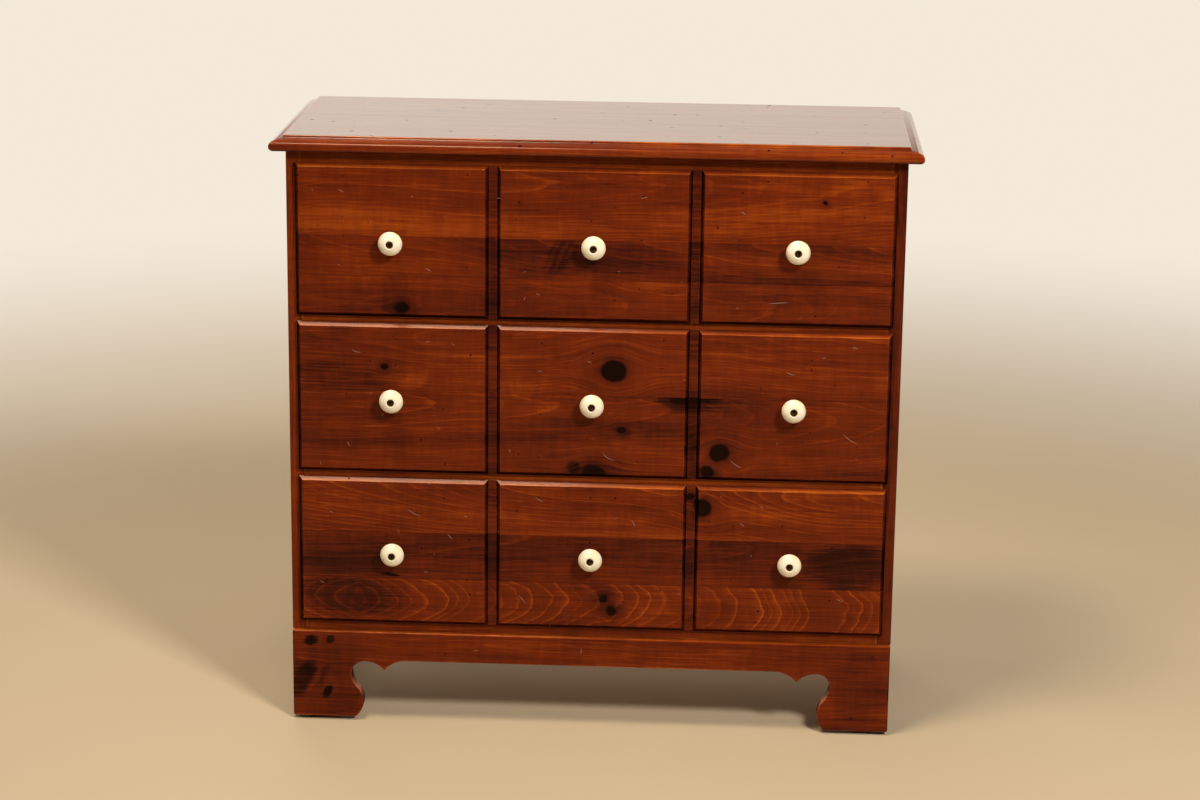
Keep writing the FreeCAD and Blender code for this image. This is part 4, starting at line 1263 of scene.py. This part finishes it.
@dataclass
class KnobScrews:
    """The three slotted screws of a drawer with their square nuts. Millimetres."""

    row: str
    turns: Triple                   # how far each slot is turned, in degrees
    head_radius: float = 4.3
    head_height: float = 1.9
    head_steps: int = 8
    slot_width: float = 1.0
    slot_depth: float = 0.8
    shank_radius: float = 2.0
    shank_point: float = 0.5        # bevel at the shank's end
    nut_side: float = 7.9
    nut_thickness: float = 3.2
    nut_easing: float = 0.5
    nut_turn: float = 45.0          # degrees, on top of its share of the slot's turn
    around: int = 32

    def outline(self, seat: float, tail: float) -> list[tuple[float, float]]:
        """Draw the outline of head and shank.

        Args:
            seat: Underside of the head, out from the drawer face.
            tail: End of the shank, out from the drawer face.

        Returns:
            Radius and distance out from the drawer, from the head's top to the shank's end.
        """
        angles = [math.pi / 2 * step / self.head_steps for step in range(self.head_steps + 1)]
        head = [(self.head_radius * math.sin(angle), seat + self.head_height * math.cos(angle))
                for angle in angles]
        return head + [(self.shank_radius, seat), (self.shank_radius, tail + self.shank_point),
                       (self.shank_radius - self.shank_point, tail), (0.0, tail)]

    def screw(self, seat: float, tail: float, turn: float) -> bpy.types.Mesh:
        """Turn one screw and cut its slot.

        Args:
            seat: Underside of the head, out from the drawer face.
            tail: End of the shank, out from the drawer face.
            turn: Angle of the slot in degrees.

        Returns:
            Mesh of the screw, with the drawer face at its origin.
        """
        form = bmesh.new()
        points = self.outline(seat, tail)
        tip, end = (form.verts.new((0.0, -out * MM, 0.0)) for _, out in (points[0], points[-1]))
        rings = turn_rings(form, points[1:-1], self.around)
        join_rings(form, rings)
        for i in range(-1, self.around - 1):
            form.faces.new((tip, rings[0][i + 1], rings[0][i]))
            form.faces.new((end, rings[-1][i], rings[-1][i + 1]))
        bmesh.ops.recalc_face_normals(form, faces=form.faces)
        blank = link_mesh(close_form(form, "screw_blank"))
        cutter = self.block((self.head_radius * 2.6, self.slot_depth * 2, self.slot_width),
                            (0.0, -(seat + self.head_height), 0.0), turn, (0.0, 0.0, 0.0))
        cutter = link_mesh(close_form(cutter, "slot_cutter"))
        cut = blank.modifiers.new("slot", "BOOLEAN")
        cut.operation, cut.object, cut.solver = "DIFFERENCE", cutter, "EXACT"
        bpy.context.view_layer.update()
        graph = bpy.context.evaluated_depsgraph_get()
        mesh = bpy.data.meshes.new_from_object(blank.evaluated_get(graph))
        for spent in (blank, cutter):
            bpy.data.objects.remove(spent)
        return mesh

    def nut(self, turn: float) -> bpy.types.Mesh:
        """Make a square nut with eased corners.

        Args:
            turn: How far the nut is turned, in degrees.

        Returns:
            Mesh of the nut, with its face against the drawer at the origin.
        """
        form = self.block((self.nut_side, self.nut_thickness, self.nut_side), (0.0, 0.0, 0.0),
                          turn, (0.0, self.nut_thickness / 2, 0.0))
        bmesh.ops.bevel(form, geom=form.edges[:], offset=self.nut_easing * MM, segments=2,
                        profile=0.5, affect="EDGES")
        return close_form(form, "square_nut")

    @staticmethod
    def block(size: Triple, at: Triple, turn: float, shift: Triple) -> bmesh.types.BMesh:
        """Make a block that is turned round the screw's axis. Millimetres and degrees.

        Args:
            size: Its three sides.
            at: Point of the axis that it sits on.
            turn: How far it is turned.
            shift: Its middle as seen from that point.

        Returns:
            The block.
        """
        form = bmesh.new()
        put = Matrix.Translation(Vector(at) * MM) @ Matrix.Rotation(math.radians(turn), 4, "Y")
        grow = Matrix.Diagonal((*(Vector(size) * MM), 1.0))
        bmesh.ops.create_cube(form, size=1.0,
                              matrix=put @ Matrix.Translation(Vector(shift) * MM) @ grow)
        return form

    def build(self, brass: bpy.types.Material) -> None:
        """Make the three screws and nuts and set them in the drawer.

        Args:
            brass: Material of screws and nuts.
        """
        node = self.row + "_drawer_knob_screws"
        low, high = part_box(node)
        back_of_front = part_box(self.row + "_drawer_front")[1].y
        form = bmesh.new()
        for side, turn in zip(("left", "centre", "right"), self.turns):
            knob_low, knob_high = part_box("%s_drawer_%s_knob" % (self.row, side))
            middle = Vector(((knob_low.x + knob_high.x) / 2, knob_high.y,
                             (knob_low.z + knob_high.z) / 2))
            seat = (middle.y - low.y) / MM - self.head_height
            tail = (middle.y - high.y) / MM
            screw = self.screw(seat, tail, turn)
            screw.transform(Matrix.Translation(middle))
            nut = self.nut(turn * 0.6 + self.nut_turn)
            nut.transform(Matrix.Translation((middle.x, back_of_front, middle.z)))
            form.from_mesh(screw)
            form.from_mesh(nut)
        thing = link_mesh(close_form(form, node + "_slotted", 35))
        dress(thing, brass)
        place_piece(thing, self.row + "_drawer", node)


@dataclass
class Drawer:
    """One full-width drawer: front, box, knobs and screws."""

    row: str
    panel: Panel
    turns: Triple                   # how far the slots of its knob screws are turned, in degrees
    easing: Easing = Easing()
    box_easing: Easing = Easing(radius=0.5 * MM)

    def build(self, glaze: bpy.types.Material, brass: bpy.types.Material,
              inside: dict[str, bpy.types.Material]) -> None:
        """Dress the drawer.

        Args:
            glaze: Material of the knobs.
            brass: Material of the screws.
            inside: Materials of the box, by part.
        """
        body = self.row + "_drawer"
        front = self.easing.ease(body + "_front")
        dress(front, StainedPine().build(body + "_front", self.panel), inside["back"],
              MATT_WITH_PAINTED_SHADE.build(body + "_front_slopes", self.panel))
        bare, matt = 1, 2           # places of those two materials
        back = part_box(body + "_front")[1].y - 0.3 * MM
        paint(front, bare, lambda face: face.center.y > back)
        # Slopes that look sideways or down get painted shade
        paint(front, matt, looks_sideways_or_down)
        place_piece(front, body, body + "_front")
        for part, wood in (("left_side", "side"), ("right_side", "side"), ("back", "back")):
            node = "%s_%s" % (body, part)
            board = self.box_easing.ease(node)
            dress(board, inside[wood])
            place_piece(board, body, node)
        dress(CAD[body + "_channel"], inside["channel"])
        low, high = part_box(body + "_bottom")
        sheet = Plywood(Way.FLAT, (low.z / MM, high.z / MM))
        dress(CAD[body + "_bottom"], sheet.build(body + "_bottom"))
        for side in ("left", "centre", "right"):
            Knob("%s_%s_knob" % (body, side), body).build(glaze)
        KnobScrews(self.row, self.turns).build(brass)


FACE = -148.65                              # show face of the drawer fronts, mm
HOLLOWS = GlazeAndShade(-143.65, 4.6, -0.42)        # glaze and painted shade on the slopes and floors of their channels

UPPER = Panel(
    Way.FRONT, face=FACE, seed=51,
    glazes_and_shade=(HOLLOWS,),
    boards=(Board(598, 540, 60, 0.03, -0.03), Board(649, 622, 46, -0.05, -0.06),
            Board(9999, 700, 52, 0.02, 0.03)),
    knots=(Knot(-241, 556.5, 8.5, 6), Knot(287, 702.5, 2.5, 2.5)),
    tone_patches=(TonePatch(-41, 630, 31, 17, 60, -0.16, (598, 649)),
             TonePatch(-52, 627, 24, 3.4, 67, 0.09, (598, 649)),
             TonePatch(-41, 629, 27, 3, 66, 0.09, (598, 649)),
             TonePatch(-31, 632, 20, 2.8, 64, 0.07, (598, 649)),
             TonePatch(40, 625, 90, 18, 4, -0.1, (598, 649)),
             TonePatch(-300, 662, 90, 6, 0, 0.1, (649, 669)), TonePatch(-260, 640, 110, 60, 0, 0.08),
             TonePatch(250, 575, 130, 40, 0, -0.05)),
    nicks=(Nick(232.5, 574.5, 25, 4, 0), Nick(-318, 706, 8, -25), Nick(-120, 700, 6, 12),
           Nick(62, 705, 9, 8), Nick(186, 688, 7, -35), Nick(-208, 607, 8, -30)),
)
MIDDLE = Panel(
    Way.FRONT, face=FACE, seed=63,
    glazes_and_shade=(HOLLOWS,),
    boards=(Board(448.5, 400, 46, 0.05, -0.04), Board(9999, 500, 56, -0.02, 0)),
    knots=(Knot(26.5, 481.5, 15.5, 13.5), Knot(37.5, 403, 5, 3.2), Knot(2.5, 346.5, 13, 9.5),
           Knot(162.5, 378, 12.5, 11), Knot(147, 351.5, 8, 7), Knot(-265, 480, 4.5, 3.2)),
    tone_patches=(TonePatch(122, 449, 39, 24, 0, -0.24, (0, 448.5)),
             TonePatch(170, 447, 90, 9, 0, -0.1, (0, 448.5)), TonePatch(-24, 354, 10, 9, 25, -0.24),
             TonePatch(127, 382, 9, 20, 0, -0.14), TonePatch(-322, 466, 62, 22, -6, -0.14, (448.5, 999)),
             TonePatch(-300, 500, 90, 40, 0, -0.07), TonePatch(-228, 462, 26, 12, 25, 0.1)),
    nicks=(Nick(20.5, 367, 21, -31, -0.03), Nick(183.5, 362, 20, -33, -0.02),
           Nick(327.5, 398.5, 22, -33, -0.012), Nick(249.5, 483, 12.5, -18, -0.02),
           Nick(-301, 499, 13, -18, -0.03), Nick(330, 519, 7, -10), Nick(-210, 514, 6, 10),
           Nick(-312, 377, 6, -60, -0.12), Nick(-196, 401, 5, -20), Nick(-67, 479.5, 6, 0),
           Nick(-105, 373.5, 5, -75), Nick(-4, 492.5, 6, -20)),
)
LOWER = Panel(
    Way.FRONT, face=FACE, seed=77,
    glazes_and_shade=(HOLLOWS,),
    boards=(Board(198.3, 150, 95, 0.15, 0, 0.27, -300), Board(260.7, 232, 50, 0.02, -0.1),
            Board(9999, 306, 44, -0.07, 0.03, 0.2)),
    knots=(Knot(142, 304, 11.5, 11), Knot(127, 317, 5, 5), Knot(16, 178, 5, 4.5),
           Knot(28, 162, 6.5, 6)),
    tone_patches=(TonePatch(-260, 203.5, 13, 2, -2, -0.45),
             TonePatch(330, 230, 62, 36, 0, -0.2, (198.3, 260.7)),
             TonePatch(-310, 232, 70, 32, 0, -0.08, (198.3, 260.7)),
             TonePatch(-320, 175, 70, 34, 0, -0.18, (0, 198.3)), TonePatch(245, 305, 125, 12, -1, 0.01)),
    nicks=(Nick(-228.5, 286.5, 20, -27, -0.015), Nick(-182, 257, 10, -48, 0),
           Nick(-67, 309, 13, -30, -0.02), Nick(54.5, 281, 11, -60, 0.02),
           Nick(-88, 174.5, 14, -50, 0), Nick(193.5, 283, 8, -40), Nick(-348, 191, 6, -30),
           Nick(-213, 208, 5, 10), Nick(-335, 286, 5, -30), Nick(-161, 284, 4, 0),
           Nick(218, 307, 6, -30), Nick(320, 185, 6, -25)),
)


# ------------------------------------------------------------------ studio

@dataclass(frozen=True)
class Lamp:
    """A soft square lamp that looks at the chest."""

    name: str
    direction: Triple           # where it hangs, seen from the chest
    far: float                  # how far from the chest
    size: float                 # side of the square
    power: float                # watts
    colour: str
    mirrored: bool = False      # whether glossy surfaces show it

    def hang(self, aim: Vector) -> None:
        """Hang the lamp.

        Args:
            aim: Point that it looks at.
        """
        light = bpy.data.lights.new(self.name, "AREA")
        light.shape = "SQUARE"
        light.size = self.size
        light.energy = self.power
        light.color = linear(self.colour)[:3]
        lamp = bpy.data.objects.new(self.name, light)
        bpy.context.scene.collection.objects.link(lamp)
        out = Vector(self.direction).normalized()
        lamp.location = aim + out * self.far
        lamp.rotation_mode = "QUATERNION"
        lamp.rotation_quaternion = (-out).to_track_quat("-Z", "Y")
        lamp.visible_camera = False
        lamp.visible_glossy = self.mirrored


@dataclass
class Studio:
    """Floor, lamps, surroundings and camera."""

    floor_radius: float = 14.0
    aim: Triple = (0.0, -0.1, 0.42)
    lamps: tuple[Lamp, ...] = (
        Lamp("key", (0.435, -0.67, 0.603), 3.6, 0.6, 112.0, "#FFF6EA"),
        Lamp("fill", (-0.95, 0.12, 0.35), 4.0, 2.4, 30.0, "#FFF8F0"),
        Lamp("rear", (-0.25, 0.9, 0.42), 4.0, 2.4, 50.0, "#FFF8F0"),
        Lamp("overhead", (-0.2, -0.28, 0.94), 2.6, 0.7, 46.0, "#FFEACC", mirrored=True),
    )
    ambient: float = 0.15                   # strength of the low even light
    room: float = 0.12                      # brightness of the mirrored room in front
    left_wall: float = 1.16                 # brightness of the mirrored wall to the left
    camera_at: Triple = (0.193, -3.79305, 1.3994)
    pitch: float = -14.683                  # degrees, looking down
    yaw: float = 2.881
    roll: float = -0.672
    lens: float = 89.204                    # mm, on a sensor 36 mm wide

    def lay_floor(self) -> None:
        """Lay a round floor with a rim that runs out of sight."""
        form = bmesh.new()
        bmesh.ops.create_circle(form, cap_ends=True, segments=96, radius=self.floor_radius)
        floor = link_mesh(close_form(form, "studio_floor"))
        dress(floor, PaleFloor().build())

    def surround(self) -> None:
        """Put pale walls behind everything that is seen, with a low even light.

        The lacquer mirrors the pale wall behind the chest, a little dimmer to
        the right, and a much darker room in front of it and above.
        """
        world = bpy.data.worlds.new("studio")
        bpy.context.scene.world = world
        world.use_nodes = True
        world.node_tree.nodes.clear()
        add = partial(add_node, world.node_tree)
        path = add(PATH).node.outputs
        seen = add(MATH, [path["Is Camera Ray"], path["Is Transmission Ray"]],
                   operation="MAXIMUM")
        strength = add(REMAP, [seen, 0.0, 1.0, self.ambient, 1.0])
        towards = add(SPLIT, [add(PLACE, out="Generated")]).node.outputs
        behind = add(REMAP, [towards["Y"], -0.25, 0.35, self.room, 1.0])
        aside = add(REMAP, [towards["X"], -0.16, 0.12, self.left_wall, 1.0])
        above = add(REMAP, [towards["Z"], 0.34, 0.64, 1.0, self.room])
        mirrored = add(MATH, [behind, aside], operation="MULTIPLY")
        mirrored = add(MATH, [mirrored, above], operation="MULTIPLY")
        strength = add(BLEND, {"Factor": path["Is Glossy Ray"], "A": strength, "B": mirrored},
                       data_type="FLOAT")
        sky = add("ShaderNodeBackground", {"Color": BACKDROP, "Strength": strength})
        add("ShaderNodeOutputWorld", {"Surface": sky})

    def set_camera(self) -> None:
        """Set up the camera in front of the chest, a little to the right and looking down."""
        data = bpy.data.cameras.new("camera")
        data.sensor_width = 36.0
        data.lens = self.lens
        data.clip_end = 60.0
        camera = bpy.data.objects.new("camera", data)
        bpy.context.scene.collection.objects.link(camera)
        turn = Matrix.Identity(3)
        for angle, axis in ((self.yaw, "Z"), (self.pitch, "X"), (self.roll, "Y"), (90.0, "X")):
            turn = turn @ Matrix.Rotation(math.radians(angle), 3, axis)
        camera.rotation_mode = "QUATERNION"
        camera.rotation_quaternion = turn.to_quaternion()
        camera.location = self.camera_at
        bpy.context.scene.camera = camera

    def build(self) -> None:
        """Set up the whole studio."""
        bpy.context.scene.view_settings.view_transform = "Standard"
        self.lay_floor()
        for lamp in self.lamps:
            lamp.hang(Vector(self.aim))
        self.surround()
        self.set_camera()
        log.info("floor, lamps and camera set")


def main() -> None:
    """Dress the chest and set up the studio round it."""
    logging.basicConfig(level=logging.INFO, format="%(name)s: %(message)s")
    Case().build()
    glaze, brass = CreamGlaze().build(), AgedBrass().build()
    plain = PlainPine()
    inside = {
        "side": plain.build("drawer_sides", Panel(Way.DEPTH, seed=13, speckled=False)),
        "back": plain.build("drawer_backs", Panel(Way.FRONT, seed=17, speckled=False)),
        "channel": plain.build("drawer_channels", Panel(Way.RUNNER, seed=19, speckled=False)),
    }
    for row, panel, turns in (("lower", LOWER, (12.0, 64.0, -38.0)),
                              ("middle", MIDDLE, (-20.0, 8.0, 80.0)),
                              ("upper", UPPER, (35.0, -72.0, 15.0))):
        Drawer(row, panel, turns).build(glaze, brass, inside)
        log.info("%s drawer dressed", row)
    Studio().build()


if __name__ == "__main__":
    main()
